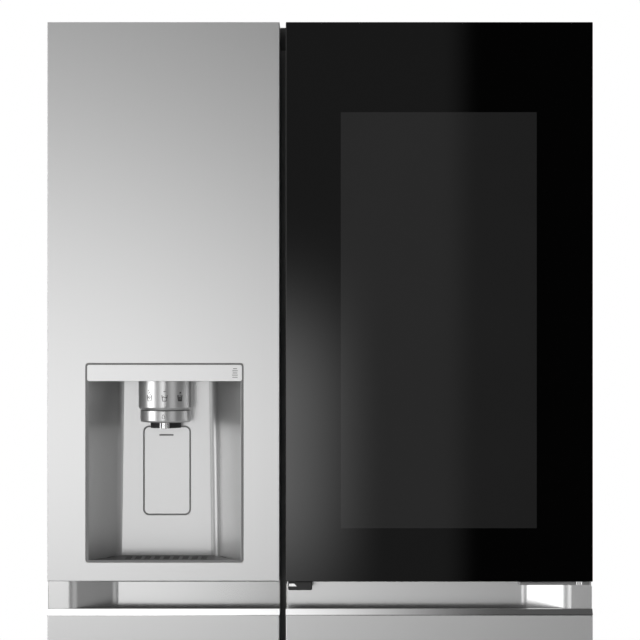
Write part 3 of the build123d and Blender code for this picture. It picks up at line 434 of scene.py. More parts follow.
def round_rect(x0, x1, z0, z1, radius, steps=6):
    """Corners of a rounded rectangle, going round once."""
    loop = []
    for cx, cz, start in (
        (x1 - radius, z0 + radius, -90), (x1 - radius, z1 - radius, 0),
        (x0 + radius, z1 - radius, 90), (x0 + radius, z0 + radius, 180),
    ):
        for k in range(steps + 1):
            angle = math.radians(start + 90 * k / steps)
            loop.append((cx + radius * math.cos(angle), cz + radius * math.sin(angle)))
    return loop


def skin(bm, rows, closed=False, cap=False):
    """Joins rows of points with faces; closed joins each row's end to its start."""
    made = [[bm.verts.new(p) for p in row] for row in rows]
    for a, b in zip(made, made[1:]):
        n = len(a)
        for i in range(n if closed else n - 1):
            bm.faces.new((a[i], a[(i + 1) % n], b[(i + 1) % n], b[i]))
    if cap:
        bm.faces.new(made[0][::-1])
        bm.faces.new(made[-1])


def plate(bm, loop, y0, y1, edge=0.0):
    """A flat outline in x and z made solid from y0 to y1, its front edge (y0) rounded off."""
    middle_x = sum(p[0] for p in loop) / len(loop)
    middle_z = sum(p[1] for p in loop) / len(loop)
    wide = max(abs(p[0] - middle_x) for p in loop)
    high = max(abs(p[1] - middle_z) for p in loop)

    def row(y, inset):
        fx, fz = 1 - inset / wide, 1 - inset / high
        return [(middle_x + (x - middle_x) * fx, y, middle_z + (z - middle_z) * fz) for x, z in loop]

    rows = [row(y1, 0)]
    for k in range(5 if edge else 1):
        angle = math.radians(90 * k / 4) if edge else 0
        rows.append(row(y0 + edge * (1 - math.sin(angle)), edge * (1 - math.cos(angle))))
    skin(bm, rows, closed=True, cap=True)


def band_between(bm, outer, inner, y0, y1):
    """A flat frame between two outlines with the same number of corners."""
    turns = ((outer, y1), (outer, y0), (inner, y0), (inner, y1))
    rows = [[(x, y, z) for x, z in loop] for loop, y in turns]
    rows.append(rows[0])
    skin(bm, rows, closed=True)
    bmesh.ops.remove_doubles(bm, verts=bm.verts, dist=1e-5)


def turned(bm, profile, centre, start=0.0, end=360.0, steps=64, axis="Z"):
    """A profile of (radius, height) pairs spun round an axis."""
    whole = abs(end - start) >= 360
    rows = []
    for k in range(steps if whole else steps + 1):
        angle = math.radians(start + (end - start) * k / steps)
        c, s = math.cos(angle), math.sin(angle)
        rows.append([put_on_axis(centre, axis, r * c, r * s, h) for r, h in profile])
    if whole:
        rows.append(rows[0])
    skin(bm, rows)
    bmesh.ops.remove_doubles(bm, verts=bm.verts, dist=1e-4)


def put_on_axis(centre, axis, u, v, h):
    """The point at u and v across an axis and h along it."""
    if axis == "Z":
        return (centre[0] + u, centre[1] + v, h)
    if axis == "Y":
        return (centre[0] + u, h, centre[1] + v)
    return (h, centre[0] + u, centre[1] + v)


def brick(bm, x0, x1, y0, y1, z0, z1, edge=0.8, steps=2):
    """A block with rounded edges."""
    part = bmesh.new()
    bmesh.ops.create_cube(part, size=1)
    for v in part.verts:
        x, y, z = v.co + Vector((0.5, 0.5, 0.5))
        v.co = Vector((x0 + (x1 - x0) * x, y0 + (y1 - y0) * y, z0 + (z1 - z0) * z))
    bmesh.ops.bevel(part, geom=part.edges[:], offset=edge, segments=steps, profile=0.5, affect="EDGES")
    mesh = bpy.data.meshes.new("part")
    part.to_mesh(mesh)
    part.free()
    bm.from_mesh(mesh)
    bpy.data.meshes.remove(mesh)


def wire(bm, path, radius, around):
    """A round bar along a path."""
    path = [Vector(p) for p in path]
    side = None
    rows = []
    for i, p in enumerate(path):
        ahead = (path[min(i + 1, len(path) - 1)] - path[max(i - 1, 0)]).normalized()
        if side is None:
            side = ahead.orthogonal().normalized()
        side = (side - ahead * side.dot(ahead)).normalized()
        other = ahead.cross(side)
        rows.append([
            p + (side * math.cos(a) + other * math.sin(a)) * radius
            for a in (2 * math.pi * k / around for k in range(around))
        ])
    skin(bm, rows, closed=True, cap=True)


def span_of(node):
    """A CAD node's box in millimetres."""
    lo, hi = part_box(node)
    return lo / MM, hi / MM


# ---------------------------------------------------------------- handle
RECESS_FLOOR = 788.0
SHALLOW_Y, DEEP_Y = -356.0, -316.0
RAMP_OUTER_X, RAMP_INNER_X = 414.0, 347.0
RAMP_RADII = (34.0, 24.0)
BAND_SHEET = 2.0
BAND_END = 1.4
BAND_BOW = {-1: 1.7, 1: 0.5}  # by the side that the hinges are on
BOW_STEPS = 24
CAP_REAR_Y = -264.7
CAP_FOOT = 792
CAP_TOP = {"freezer_handle_band": 848.7, "fridge_handle_band": 838.7}
LIP_BACK_Y, PANEL_RETURN_Y = -354.5, -337.5
LIP_FOOT = 792.4
LIP_BEVEL = 7.5
FREEZER_BAND_TOP = 845.1
TRAY_SHEET = 0.3


def handle_band(side, node, body, slot):
    """The formed steel sheet behind the fingers: a shallow end, a ramp, and a slightly bowed deep run."""
    lo, hi = span_of(node)
    outer_end, inner_end = (hi.x, lo.x) if side > 0 else (lo.x, hi.x)
    outer = outer_end - side * BAND_END
    inner = inner_end + side * BAND_END
    ramp = [(side * RAMP_OUTER_X, SHALLOW_Y), (side * RAMP_INNER_X, DEEP_Y)]
    face = arc_path([(outer, SHALLOW_Y), *ramp, (inner, DEEP_Y)], RAMP_RADII, 12)
    start = face[-2]
    bowed = []
    for k in range(1, BOW_STEPS + 1):
        t = k / BOW_STEPS
        x = start.x + (inner - start.x) * t
        bowed.append(Vector((x, DEEP_Y - 4 * BAND_BOW[side] * t * (1 - t))))
    face = face[:-1] + bowed
    top = hi.z
    edges = ((0, RECESS_FLOOR), (0, top), (BAND_SHEET, top), (BAND_SHEET, RECESS_FLOOR))
    rows = [[(p.x, p.y + depth, z) for p in face] for depth, z in edges]
    bm = bmesh.new()
    skin(bm, rows)
    for x, inward, y in ((outer_end, -side, SHALLOW_Y), (inner_end, side, DEEP_Y)):  # caps at the ends
        x0, x1 = sorted((x, x + inward * 1.2))
        brick(bm, x0, x1, y + 2.2, CAP_REAR_Y, CAP_FOOT, min(top, CAP_TOP[node]), 0.25, 1)
    built(node + "_sheet", bm, body, slot, (node,), smooth_angle=60)

    # thin trays close the recess below, and above on the freezer door; they are dark grey as painted shade,
    # for the shade on the recess floor and in the gap above the freezer band
    bm = bmesh.new()
    levels = [(RECESS_FLOOR, LIP_BACK_Y)]
    if side < 0:
        levels.append((FREEZER_BAND_TOP - 0.35, PANEL_RETURN_Y))
    for z, y0 in levels:
        run = [p for p in face if p.y > y0 + 0.5]
        corners = ((0, 0), (1, 0), (1, TRAY_SHEET), (0, TRAY_SHEET))
        rows = [[(p.x, p.y if back else y0, z + dz) for p in run] for back, dz in corners]
        skin(bm, rows + rows[:1])
    # painted shadow: a thin dark sheet fills the gap between the freezer band's top and the upper panel
    if side < 0:
        y = PANEL_RETURN_Y
        brick(bm, lo.x + 1.5, hi.x - 1.5, y - 0.4, y - 0.05, FREEZER_BAND_TOP - 0.3, CAP_TOP[node], 0.1, 1)
    built(node + "_painted_shade_trays", bm, body, "bezel_line", (), CRISP_ANGLE)


def handle_lip(node, body):
    """The polished bevel under the fingers, with the tongue that holds it in the lower panel."""
    lo, hi = span_of(node)
    foot = LIP_FOOT
    back = SHALLOW_Y - 0.05
    profile = [(lo.y, foot), (lo.y, foot + 0.6), (lo.y + LIP_BEVEL, hi.z), (back, hi.z), (back, foot)]
    bm = bmesh.new()
    skin(bm, [[(x, y, z) for y, z in profile] for x in (lo.x, hi.x)], closed=True, cap=True)
    brick(bm, lo.x + 1.4, hi.x - 1.4, lo.y + 1.3, back, RECESS_FLOOR, foot + 0.2, 0.2, 1)
    built(node + "_rail", bm, body, "polished_lip", (node,), smooth_angle=10)


# ---------------------------------------------------------------- dispenser
SPOUT_X, SPOUT_Y = -262.0, -312.0
SELECTOR_R, SPOUT_R = 46.0, 43.0
RING_FROM, RING_TO = -236.0, 56.0  # degrees; the rings are open where they meet the back wall
RECESS_TOP = 1195
ICON_BASE, ICON_SCALE, ICON_STROKE = 1150, 1.1, 0.55
CUP = [(-4.6, 9.0), (-3.2, 0.0), (3.2, 0.0), (4.6, 9.0)]
# where each icon is, in degrees from the front, and its strokes in millimetres
ICONS = {
    "icon_crushed": (-32.2, [
        CUP, [(-2.6, 4.2), (-0.4, 7.4)], [(-0.4, 3.2), (2.2, 6.6)], [(-1.6, 11.5), (1.4, 13.6)],
        [(-2.6, 15.2), (-0.6, 16.4)], [(2.2, 9.2), (3.6, 11.8)],
    ]),
    "icon_water": (1.6, [
        CUP, [(-3.7, 5.6), (-1.5, 6.6), (1.5, 4.8), (3.7, 5.8)], [(-1.8, 14.4), (1.8, 14.4)],
    ]),
    "icon_cubed": (35.3, [
        CUP, [(-2.8, 0.9), (2.8, 0.9)], [(-3.0, 2.2), (3.0, 2.2)], [(-3.2, 3.5), (3.2, 3.5)],
        [(-3.3, 4.8), (3.3, 4.8)], [(-3.4, 6.1), (3.4, 6.1)], [(-3.6, 7.3), (-1.4, 8.8)],
        [(0.4, 8.6), (3.6, 7.2)], [(-1.2, 11.6), (1.2, 13.4), (1.6, 11.2)],
    ]),
}
STRIP_FOOT = 1183.6
STRIP_ICON_X, STRIP_ICON_Z = -142.2, 1204.6
STRIP_ICON_BARS = (3.4, 4.6, 4.0, 4.8, 4.4)  # half lengths
LEVER_HALF, LEVER_LOW, LEVER_HIGH = 40.5, 952.0, 1104.7
LEVER_FACE = -274.8
PLATE_X, PLATE_HALF_TOP, PLATE_HALF_FOOT = -262.6, 72.3, 76.6
PLATE_FOOT, PLATE_TOP = 883.2, 1194.8


def ring(name, profile, slot, stands_for=(), smooth_angle=CRISP_ANGLE):
    bm = bmesh.new()
    turned(bm, profile, (SPOUT_X, SPOUT_Y), RING_FROM, RING_TO, 96)
    built(name, bm, "freezer_door", slot, stands_for, smooth_angle)


def dispenser_rings():
    selector, spout = SELECTOR_R, SPOUT_R
    ring("selector_ring", [
        (38, RECESS_TOP), (selector, RECESS_TOP), (selector, 1139.2), (selector - 0.4, 1137.9),
        (selector - 1.2, 1136.8), (selector - 2.4, 1135.6), (selector - 3.1, 1134.4), (41.8, 1134.2),
        (40.4, 1134.3), (40.4, 1136.5), (38, 1136.5), (38, RECESS_TOP),
    ], "ring_grey", ("dispenser_rings",))
    ring("spout_ring", [
        (35.5, 1133), (spout - 1.4, 1133.4), (spout - 0.4, 1133.0), (spout, 1132.2), (spout, 1117),
        (spout - 0.3, 1115.4), (spout - 1.2, 1114.1), (40.4, 1113.3), (39, 1113), (36.4, 1113),
        (35.5, 1113.6), (35.5, 1133),
    ], "ring_grey")
    # painted shade: a black ring fills the groove between the selector ring and the spout ring
    groove = [(39.6, 1137), (41.5, 1136.2), (41.5, 1133.2), (39.6, 1132.8)]
    ring("ring_shadow_groove", groove, "black_plastic", (), SMOOTH_ANGLE)


def on_ring(radius, turn, u, z):
    """A point on the ring's face, u millimetres along it from the direction turn."""
    angle = math.radians(turn) + u / radius
    return (SPOUT_X + radius * math.sin(angle), SPOUT_Y - radius * math.cos(angle), z)


def ring_icons():
    face = SELECTOR_R + 0.05
    for name, (turn, strokes) in ICONS.items():
        bm = bmesh.new()
        for stroke in strokes:
            path = []
            for (u0, z0), (u1, z1) in zip(stroke, stroke[1:]):
                for k in range(6):
                    t = k / 6
                    z = ICON_BASE + ICON_SCALE * (z0 + (z1 - z0) * t)
                    path.append(on_ring(face, turn, u0 + (u1 - u0) * t, z))
            path.append(on_ring(face, turn, stroke[-1][0], ICON_BASE + ICON_SCALE * stroke[-1][1]))
            wire(bm, path, ICON_STROKE, 6)
        built(name, bm, "freezer_door", "black_plastic")
    drop = []
    for k in range(19):
        a = 2 * math.pi * k / 18
        u = 3.0 * math.sin(a) * (1 - 0.28 * (1 + math.cos(a)))
        drop.append(on_ring(SPOUT_R + 0.05, -1.0, u, 1123.5 + 3.4 * math.cos(a)))
    bm = bmesh.new()
    wire(bm, drop, 0.35, 6)
    built("icon_drop", bm, "freezer_door", "black_plastic")


def bezel():
    lo, hi = span_of("dispenser_bezel")
    front = lo.y + 0.25
    outer = round_rect(lo.x, hi.x, lo.z, hi.z, 5.0)
    line = round_rect(lo.x + 1.5, hi.x - 1.5, lo.z + 1.5, hi.z - 1.5, 3.8)
    mouth = round_rect(lo.x + 3.3, hi.x - 3.3, lo.z + 2.8, hi.z - 2.6, 2.6)
    bm = bmesh.new()
    band_between(bm, outer, line, front + 0.7, front + 5.0)
    built("bezel_outline", bm, "freezer_door", "bezel_line", (), CRISP_ANGLE)
    bm = bmesh.new()
    beyond = round_rect(lo.x - 1.05, hi.x + 1.05, lo.z - 1.05, hi.z + 1.05, 6.0)
    band_between(bm, beyond, line, front + 0.55, front + 0.9)
    built("bezel_seal", bm, "freezer_door", "bezel_line", (), CRISP_ANGLE)
    bm = bmesh.new()
    band_between(bm, line, mouth, front + 0.25, front + 5.0)
    built("bezel_frame", bm, "freezer_door", "bezel_line", ("dispenser_bezel",), CRISP_ANGLE)
    bm = bmesh.new()
    plate(bm, round_rect(lo.x + 1.7, hi.x - 1.7, STRIP_FOOT, hi.z - 1.7, 3.4), front, front + 4.6, 0.5)
    built("bezel_strip", bm, "freezer_door", "light_strip", (), CRISP_ANGLE)
    bm = bmesh.new()
    for i, half in enumerate(STRIP_ICON_BARS):
        z = STRIP_ICON_Z - 3.6 * i
        bar = round_rect(STRIP_ICON_X - half, STRIP_ICON_X + half, z - 0.6, z + 0.6, 0.5, 2)
        plate(bm, bar, front - 0.05, front + 0.3)
    built("strip_icon", bm, "freezer_door", "bezel_line")


def lever():
    lo, hi = span_of("dispenser_lever")
    middle = (lo.x + hi.x) / 2
    half, low, high = LEVER_HALF, LEVER_LOW, LEVER_HIGH
    edge = round_rect(middle - half, middle + half, low, high, 10.0, 10)
    bm = bmesh.new()
    plate(bm, edge, LEVER_FACE, -270, 0.3)
    brick(bm, middle - 32, middle + 32, -270, -265, 1092, 1103, 0.6)
    wire(bm, [(middle - half - 1.0, -268, 1098), (middle + half + 1.0, -268, 1098)], 2.5, 16)
    for x in (-24, 24):  # stiffening ribs behind the paddle
        brick(bm, middle + x - 1, middle + x + 1, -270, -266.5, 962, 1090, 0.4)
    built("lever_paddle", bm, "dispenser_lever", "recess_plate", ("dispenser_lever",), CRISP_ANGLE)
    # painted shadow: a dark grey band round the paddle's edge stands in for the shade in the groove round
    # the paddle
    bm = bmesh.new()
    rim = round_rect(middle - half + 2.4, middle + half - 2.4, low + 2.4, high - 2.4, 7.8, 10)
    band_between(bm, edge, rim, LEVER_FACE - 0.2, LEVER_FACE + 0.6)
    built("lever_edge_painted_shadow", bm, "dispenser_lever", "bezel_line", (), CRISP_ANGLE)
    bm = bmesh.new()
    dash = round_rect(middle - 13.2, middle + 11.2, 1087.8, 1090.6, 0.9, 3)
    plate(bm, dash, LEVER_FACE - 0.2, LEVER_FACE + 0.4)
    built("lever_dash", bm, "dispenser_lever", "bezel_line")


def recess_plate():
    """The light panel at the back of the recess, wider at its foot, open round the lever."""
    lo, hi = span_of("dispenser_lever")
    middle = (lo.x + hi.x) / 2
    x0, x1 = PLATE_X - PLATE_HALF_TOP, PLATE_X + PLATE_HALF_TOP
    spread = PLATE_HALF_FOOT / PLATE_HALF_TOP - 1
    outer = []
    for x, z in round_rect(x0, x1, PLATE_FOOT, PLATE_TOP, 1.0, 10):
        share = (PLATE_TOP - z) / (PLATE_TOP - PLATE_FOOT)
        outer.append((PLATE_X + (x - PLATE_X) * (1 + share * spread), z))
    gap = 0.5
    half = LEVER_HALF + gap
    hole = round_rect(middle - half, middle + half, LEVER_LOW - gap, LEVER_HIGH + gap, 10.5, 10)
    bm = bmesh.new()
    band_between(bm, outer, hole, LEVER_FACE + 0.1, LEVER_FACE + 1.8)
    built("recess_back_plate", bm, "freezer_door", "recess_plate", (), CRISP_ANGLE)


def tray_slats():
    """Fine slats across the slots of the drip tray, just below its top."""
    lo, hi = span_of("drip_tray")
    bm = bmesh.new()
    for i in range(13):
        y = -344.0 + 4.25 * i
        brick(bm, lo.x + 24, hi.x - 24, y - 0.7, y + 0.7, hi.z - 2.2, hi.z - 0.1, 0.2, 1)
    built("tray_slats", bm, "freezer_door", "tray_grey", (), CRISP_ANGLE)


def water_nozzle():
    """The water tube between two guide prongs, hanging from its holder."""
    lo, hi = span_of("water_nozzle")
    at = ((lo.x + hi.x) / 2, (lo.y + hi.y) / 2)
    bm = bmesh.new()
    turned(bm, [
        (3.4, lo.z + 40), (3.4, lo.z + 0.6), (3.9, lo.z), (4.8, lo.z), (5.2, lo.z + 0.6), (5.2, lo.z + 44),
        (8.0, lo.z + 45.5), (8.0, lo.z + 47), (5.0, lo.z + 48), (5.0, hi.z), (0.01, hi.z),
    ], at, steps=40)
    for side in (-1, 1):
        x = at[0] + side * 7.0
        wire(bm, [(x, at[1], lo.z + 0.4), (x, at[1], lo.z + 46)], 0.9, 10)
    built("nozzle_tube", bm, "freezer_door", "chrome", ("water_nozzle",), CRISP_ANGLE)


def release_button():
    lo, hi = span_of("outer_door_button")
    bm = bmesh.new()
    plate(bm, round_rect(lo.x, hi.x, lo.z, 847.5, 3.0), lo.y, hi.y, 1.4)
    brick(bm, lo.x + 9, hi.x - 9, lo.y + 4, hi.y - 4, 846.5, hi.z, 0.8)
    built("button_cap", bm, "outer_door_button", "black_plastic", ("outer_door_button",), CRISP_ANGLE)
    bm = bmesh.new()
    facet = [(lo.x + 1.6, 839.6), (lo.x + 14.5, 839.6), (lo.x + 10.2, 844.0), (lo.x + 1.6, 844.0)]
    plate(bm, facet, lo.y - 0.12, lo.y + 0.6)
    built("button_facet", bm, "outer_door_button", "chrome")


def front_pieces():
    # the freezer door's band takes the darker copy of the band steel, as painted shade
    handle_band(-1, "freezer_handle_band", "freezer_door", "band_painted_shade")
    handle_band(1, "fridge_handle_band", "fridge_door", "satin_band")
    handle_lip("freezer_handle_lip", "freezer_door")
    handle_lip("fridge_handle_lip", "fridge_door")
    dispenser_rings()
    ring_icons()
    bezel()
    lever()
    recess_plate()
    tray_slats()
    water_nozzle()
    release_button()


# ---------------------------------------------------------------- seals, trims and fasteners
SCREW_RADIUS = 4.2
BACK_PANEL_FACE = 362.0
ICE_CASE_MOUTH = (-352.0, -170.0, 1379.0, 1561.0)


def loose_boxes(node):
    """The box of each separate solid in a CAD node, in millimetres."""
    bm = bmesh.new()
    bm.from_mesh(frame["nodes"][node].data)
    bmesh.ops.remove_doubles(bm, verts=bm.verts, dist=WELD)
    waiting = set(bm.verts)
    boxes = []
    while waiting:
        group = [waiting.pop()]
        for vert in group:
            for edge in vert.link_edges:
                other = edge.other_vert(vert)
                if other in waiting:
                    waiting.remove(other)
                    group.append(other)
        points = [v.co / MM for v in group]
        low = Vector([min(p[i] for p in points) for i in range(3)])
        high = Vector([max(p[i] for p in points) for i in range(3)])
        boxes.append((low, high))
    bm.free()
    return sorted(boxes, key=lambda b: (round(b[0].x), round(b[0].z)))


def bellows(node):
    """A door seal: a push-in strip, two folds and the bulb that holds the magnet."""
    lo, hi = span_of(node)
    stretch = (hi.y - lo.y) / 9.6
    section = [
        (0.4, 0), (13.6, 0), (13.6, 1.0), (9.8, 1.7), (11.5, 3.1), (9.8, 4.5), (12.0, 5.6), (12.0, 8.8),
        (11.2, 9.6), (2.8, 9.6), (2.0, 8.8), (2.0, 5.6), (4.2, 4.5), (2.5, 3.1), (4.2, 1.7), (0.4, 1.0),
        (0.4, 0),
    ]
    rows = []
    for inset, deep in section:
        y = lo.y + deep * stretch
        rows.append([
            (lo.x + inset, y, lo.z + inset), (hi.x - inset, y, lo.z + inset),
            (hi.x - inset, y, hi.z - inset), (lo.x + inset, y, hi.z - inset),
        ])
    bm = bmesh.new()
    skin(bm, rows, closed=True)
    bmesh.ops.remove_doubles(bm, verts=bm.verts, dist=1e-4)
    built(node + "_bellows", bm, NODE_BODY[node], "gasket", (node,), CRISP_ANGLE)


def screw_head(heads, slots, centre, axis, at, out):
    """A domed head standing on a face at height at; out is 1 or -1, the way it faces."""
    radius = SCREW_RADIUS
    dome = ((0.01, 1.2), (radius * 0.5, 1.05), (radius * 0.85, 0.6), (radius, 0))
    turned(heads, [(r, at + out * rise) for r, rise in dome], centre, steps=24, axis=axis)
    # the slot is a black cross set into the dome: painted shade where the cut of the slot lies
    reach, half = radius * 0.55, 0.5
    for wide, high in ((reach, half), (half, reach)):
        a = put_on_axis(centre, axis, -wide, -high, at + out * 0.4)
        b = put_on_axis(centre, axis, wide, high, at + out * 1.28)
        sides = [side for pair in zip(a, b) for side in sorted(pair)]
        brick(slots, *sides, 0.08, 1)


def screws():
    heads, slots = bmesh.new(), bmesh.new()
    back = span_of("machine_cover")[1].y - 7.0
    for x in (-436, -236, -36, 236, 436):
        for z in (58, 276):
            screw_head(heads, slots, (x, z), "Y", back, 1)
    for x in (-440, 0, 440):
        for z in (330, 800, 1270, 1730):
            screw_head(heads, slots, (x, z), "Y", BACK_PANEL_FACE, 1)
    covers = span_of("top_covers")
    for sign in (-1, 1):
        screw_head(heads, slots, (sign * 423, -135), "Z", covers[1].z - 2.0, 1)
        screw_head(heads, slots, (sign * 350, -125), "Z", covers[1].z, 1)
        screw_head(heads, slots, (sign * 432, 14), "Y", span_of("kick_plate")[0].y, -1)
    built("case_screws", heads, "cabinet", "zinc", (), CRISP_ANGLE)
    built("case_screw_slot_shade", slots, "cabinet", "black_plastic", (), CRISP_ANGLE)


def trims():
    """Bright strips along the fronts of shelves, baskets and drawers."""
    bm = bmesh.new()
    for lo, hi in loose_boxes("shelf_frames"):
        brick(bm, lo.x + 3, hi.x - 3, lo.y - 0.5, lo.y + 2, lo.z + 2.4, hi.z - 2.2, 0.4)
    built("shelf_trims", bm, "cabinet", "silver_trim")
    baskets = ("freezer_door_baskets", "fridge_door_baskets", "fridge_basket_middle", "fridge_basket_upper")
    for node in baskets:
        bm = bmesh.new()
        for lo, hi in loose_boxes(node):
            brick(bm, lo.x + 1.5, hi.x - 1.5, hi.y - 1, hi.y + 0.5, hi.z - 13, hi.z - 2, 0.4)
            for i in range(9):  # ribs on the floor, so that wet bottles don't stick
                x = lo.x + (hi.x - lo.x) * (i + 1) / 10
                brick(bm, x - 1, x + 1, lo.y + 6, hi.y - 6, lo.z + 2.8, lo.z + 3.8, 0.3, 1)
        built(node + "_trims", bm, NODE_BODY[node], "silver_trim")
    drawers = (
        "crisper_drawer_lower", "crisper_drawer_upper", "freezer_drawer_lower", "freezer_drawer_upper",
    )
    for node in drawers:
        lo, hi = span_of(node)
        bm = bmesh.new()
        brick(bm, lo.x + 7, hi.x - 7, lo.y + 5.4, lo.y + 7, hi.z - 9.5, hi.z - 4.0, 0.5)
        brick(bm, lo.x + 7, hi.x - 7, lo.y + 5.4, lo.y + 7, lo.z + 4.0, lo.z + 7.0, 0.5)
        built(node + "_trims", bm, NODE_BODY[node], "silver_trim")


def lamps():
    """Lenses on the lamps in the walls and ceilings, with lights in the long ones."""
    bm = bmesh.new()
    dots = bmesh.new()
    for lo, hi in loose_boxes("interior_lamps"):
        if hi.z - lo.z < 20:
            brick(bm, lo.x + 9, hi.x - 9, lo.y + 9, hi.y - 9, lo.z - 0.8, lo.z + 1, 0.6)
            for i in range(8):
                centre = (lo.x + 20 + (hi.x - lo.x - 40) * i / 7, (lo.y + hi.y) / 2)
                turned(dots, [(0.01, lo.z - 1.0), (3, lo.z - 1.0), (3.4, lo.z - 0.7)], centre, steps=20)
        else:
            brick(bm, lo.x - 0.8, lo.x + 1, lo.y + 4, hi.y - 4, lo.z + 8, hi.z - 8, 0.5)
    built("lamp_lenses", bm, "cabinet", "lamp_lens")
    built("lamp_lights", dots, "cabinet", "silver_trim")


def louvres():
    """Slats in the cold air outlets."""
    bm = bmesh.new()
    for z in (700, 960, 1220, 1480, 1600):
        for x in (-360, -180):
            for dz in (4.0, 9.0):
                brick(bm, x - 0.5, x + 40.5, 250.4, 255.6, z + dz, z + dz + 1.2, 0.3, 1)
    for z in (620, 900, 1180, 1460, 1600):
        for x in (130, 200):
            for dz in (3.4, 7.6):
                brick(bm, x - 0.5, x + 48.5, 279.4, 282.6, z + dz, z + dz + 1.2, 0.3, 1)
    built("outlet_louvres", bm, "cabinet", "white_liner")


def ice_case_details():
    """The frame, handle and lower shroud of the ice maker case, and its slots as dark plates of painted
    shade.
    """
    lo, hi = span_of("ice_maker_case")
    x0, x1, z0, z1 = ICE_CASE_MOUTH
    bm = bmesh.new()
    rim = round_rect(x0 - 9, x1 + 9, z0 - 9, z1 + 9, 14, 8)
    band_between(bm, rim, round_rect(x0, x1, z0, z1, 6, 8), hi.y - 0.8, hi.y + 0.7)
    brick(bm, -285, -237, hi.y - 1, hi.y + 3.5, 1590, 1602, 2.0, 3)
    built("ice_case_frame", bm, "freezer_door", "silver_trim")
    bm = bmesh.new()
    # painted shade: dark plates on the case's face stand in for the shade inside the breathing slots
    for i in range(7):  # breathing slots low in the case
        x = lo.x + 40 + 28 * i
        plate(bm, round_rect(x, x + 18, 1302, 1306, 1.9), hi.y - 0.5, hi.y + 0.1)
    built("ice_case_slot_shade", bm, "freezer_door", "tray_grey")
    bm = bmesh.new()  # covers the chute between the liner's bulge and the case
    liner = span_of("freezer_door_liner")[0]
    brick(bm, SPOUT_X - 50, SPOUT_X + 50, liner.y + 0.5, -234.6, 1235.0, lo.z + 0.5, 2.5, 3)
    built("chute_shroud", bm, "freezer_door", "white_liner", (), CRISP_ANGLE)


def hinge_bits():
    """Washers and the bared pin between the glass door and its lower hinge plate."""
    lo = span_of("outer_door_hinges")[0]
    low, high = 842.2, 847.6
    bm = bmesh.new()
    for x, radius in ((430.6, 1.4), (434.2, 1.1), (438.2, 1.6)):
        turned(bm, [(0.01, low), (radius, low), (radius, high), (0.01, high)], (x, lo.y - 0.6), steps=20)
    built("hinge_pin_bits", bm, "fridge_door", "chrome", (), CRISP_ANGLE)


# ---------------------------------------------------------------- machinery
CONDENSER_FAN_AXIS = (247, 160)
FAN_GUARD_X = -90.8
VALVE_X, VALVE_Y = 330, 320


def half_ring(start, end, way):
    """A half circle from one point to another, bulging along way."""
    start, end, way = Vector(start), Vector(end), Vector(way)
    middle, arm = (start + end) / 2, (start - end) / 2
    steps = 10
    return [
        middle + arm * math.cos(math.pi * k / steps) + way * (arm.length * math.sin(math.pi * k / steps))
        for k in range(steps + 1)
    ]


def coils():
    """The bends that join the tubes of the condenser and the evaporator."""
    bm = bmesh.new()
    for i in range(6):
        y = 175 + 30 * i
        for j in range(4):
            x, way = (156, 1) if j % 2 == 0 else (-46, -1)
            wire(bm, half_ring((x, y, 100 + 33 * j), (x, y, 133 + 33 * j), (way, 0, 0)), 3, 10)
    for z in range(96, 240, 6):  # wire fins across the tube rows
        for x in (-30 + z % 4, 140 - z % 4):
            wire(bm, [(x, 168, z), (x, 332, z)], 0.7, 6)
    built("condenser_bends", bm, "cabinet", "copper_tube", (), TUBE_ANGLE)
    bm = bmesh.new()
    for i in range(12):
        z = 450 + 42 * i
        wire(bm, half_ring((-112, 272, z), (-112, 286, z), (1, 0, 0)), 4, 10)
        if i % 2:
            wire(bm, half_ring((-392, 272, z), (-392, 286, z), (-1, 0, 0)), 4, 10)
    built("evaporator_bends", bm, "cabinet", "fin_aluminium", (), TUBE_ANGLE)


def pipes():
    """Refrigerant pipes from the compressor and the water line from the valve."""
    to_condenser = [
        (-230, 275, 226), (-230, 275, 270), (-120, 325, 270), (-52, 325, 270), (-52, 325, 232),
        (-44, 325, 232),
    ]
    to_evaporator = [(-315, 265, 231), (-315, 265, 262), (-340, 210, 262), (-340, 150, 262)]
    water = [(330, 300, 168), (330, 280, 168), (330, 262, 200), (330, 262, 282)]
    bm = bmesh.new()
    wire(bm, arc_path(to_condenser, (18, 30, 18, 12, 3.5)), 3.0, 10)
    wire(bm, arc_path(to_evaporator, (14, 20, 14)), 2.6, 10)
    built("refrigerant_pipes", bm, "cabinet", "copper", (), TUBE_ANGLE)
    bm = bmesh.new()
    wire(bm, arc_path(water, (9, 14)), 3.2, 10)
    built("water_line", bm, "cabinet", "white_plastic", (), TUBE_ANGLE)


def fan_wheel(node, axis, centre, middle, hub, tip, deep, shaft, blades):
    """A moulded fan: a hub and swept, twisted blades."""
    bm = bmesh.new()
    low, high = middle - deep / 2, middle + deep / 2
    turned(bm, [
        (shaft, low), (hub - 2, low), (hub, low + 2), (hub, high - 2), (hub - 2, high), (shaft, high),
        (shaft, low),
    ], centre, steps=40, axis=axis)
    wide = 2 * math.pi / blades * 0.72
    for blade in range(blades):
        rows = []
        for k in range(9):
            share = k / 8
            r = hub - 1 + (tip - hub + 1) * share
            base = 2 * math.pi * blade / blades + 0.35 * share
            face = []
            for side in (-0.7, 0.7):
                run = [i / 7 for i in range(8)]
                for u in run if side < 0 else run[::-1]:
                    angle = base + (u - 0.5) * wide * (1 - 0.15 * share)
                    twist = (0.5 - u) * (deep - 4) * (1 - 0.35 * share)
                    h = middle + twist + 1.2 * math.sin(math.pi * u) + side
                    face.append(put_on_axis(centre, axis, r * math.cos(angle), r * math.sin(angle), h))
            rows.append(face)
        skin(bm, rows, closed=True, cap=True)
    built(node + "_wheel", bm, NODE_BODY[node], NODE_SLOT[node], (node,), smooth_angle=40)


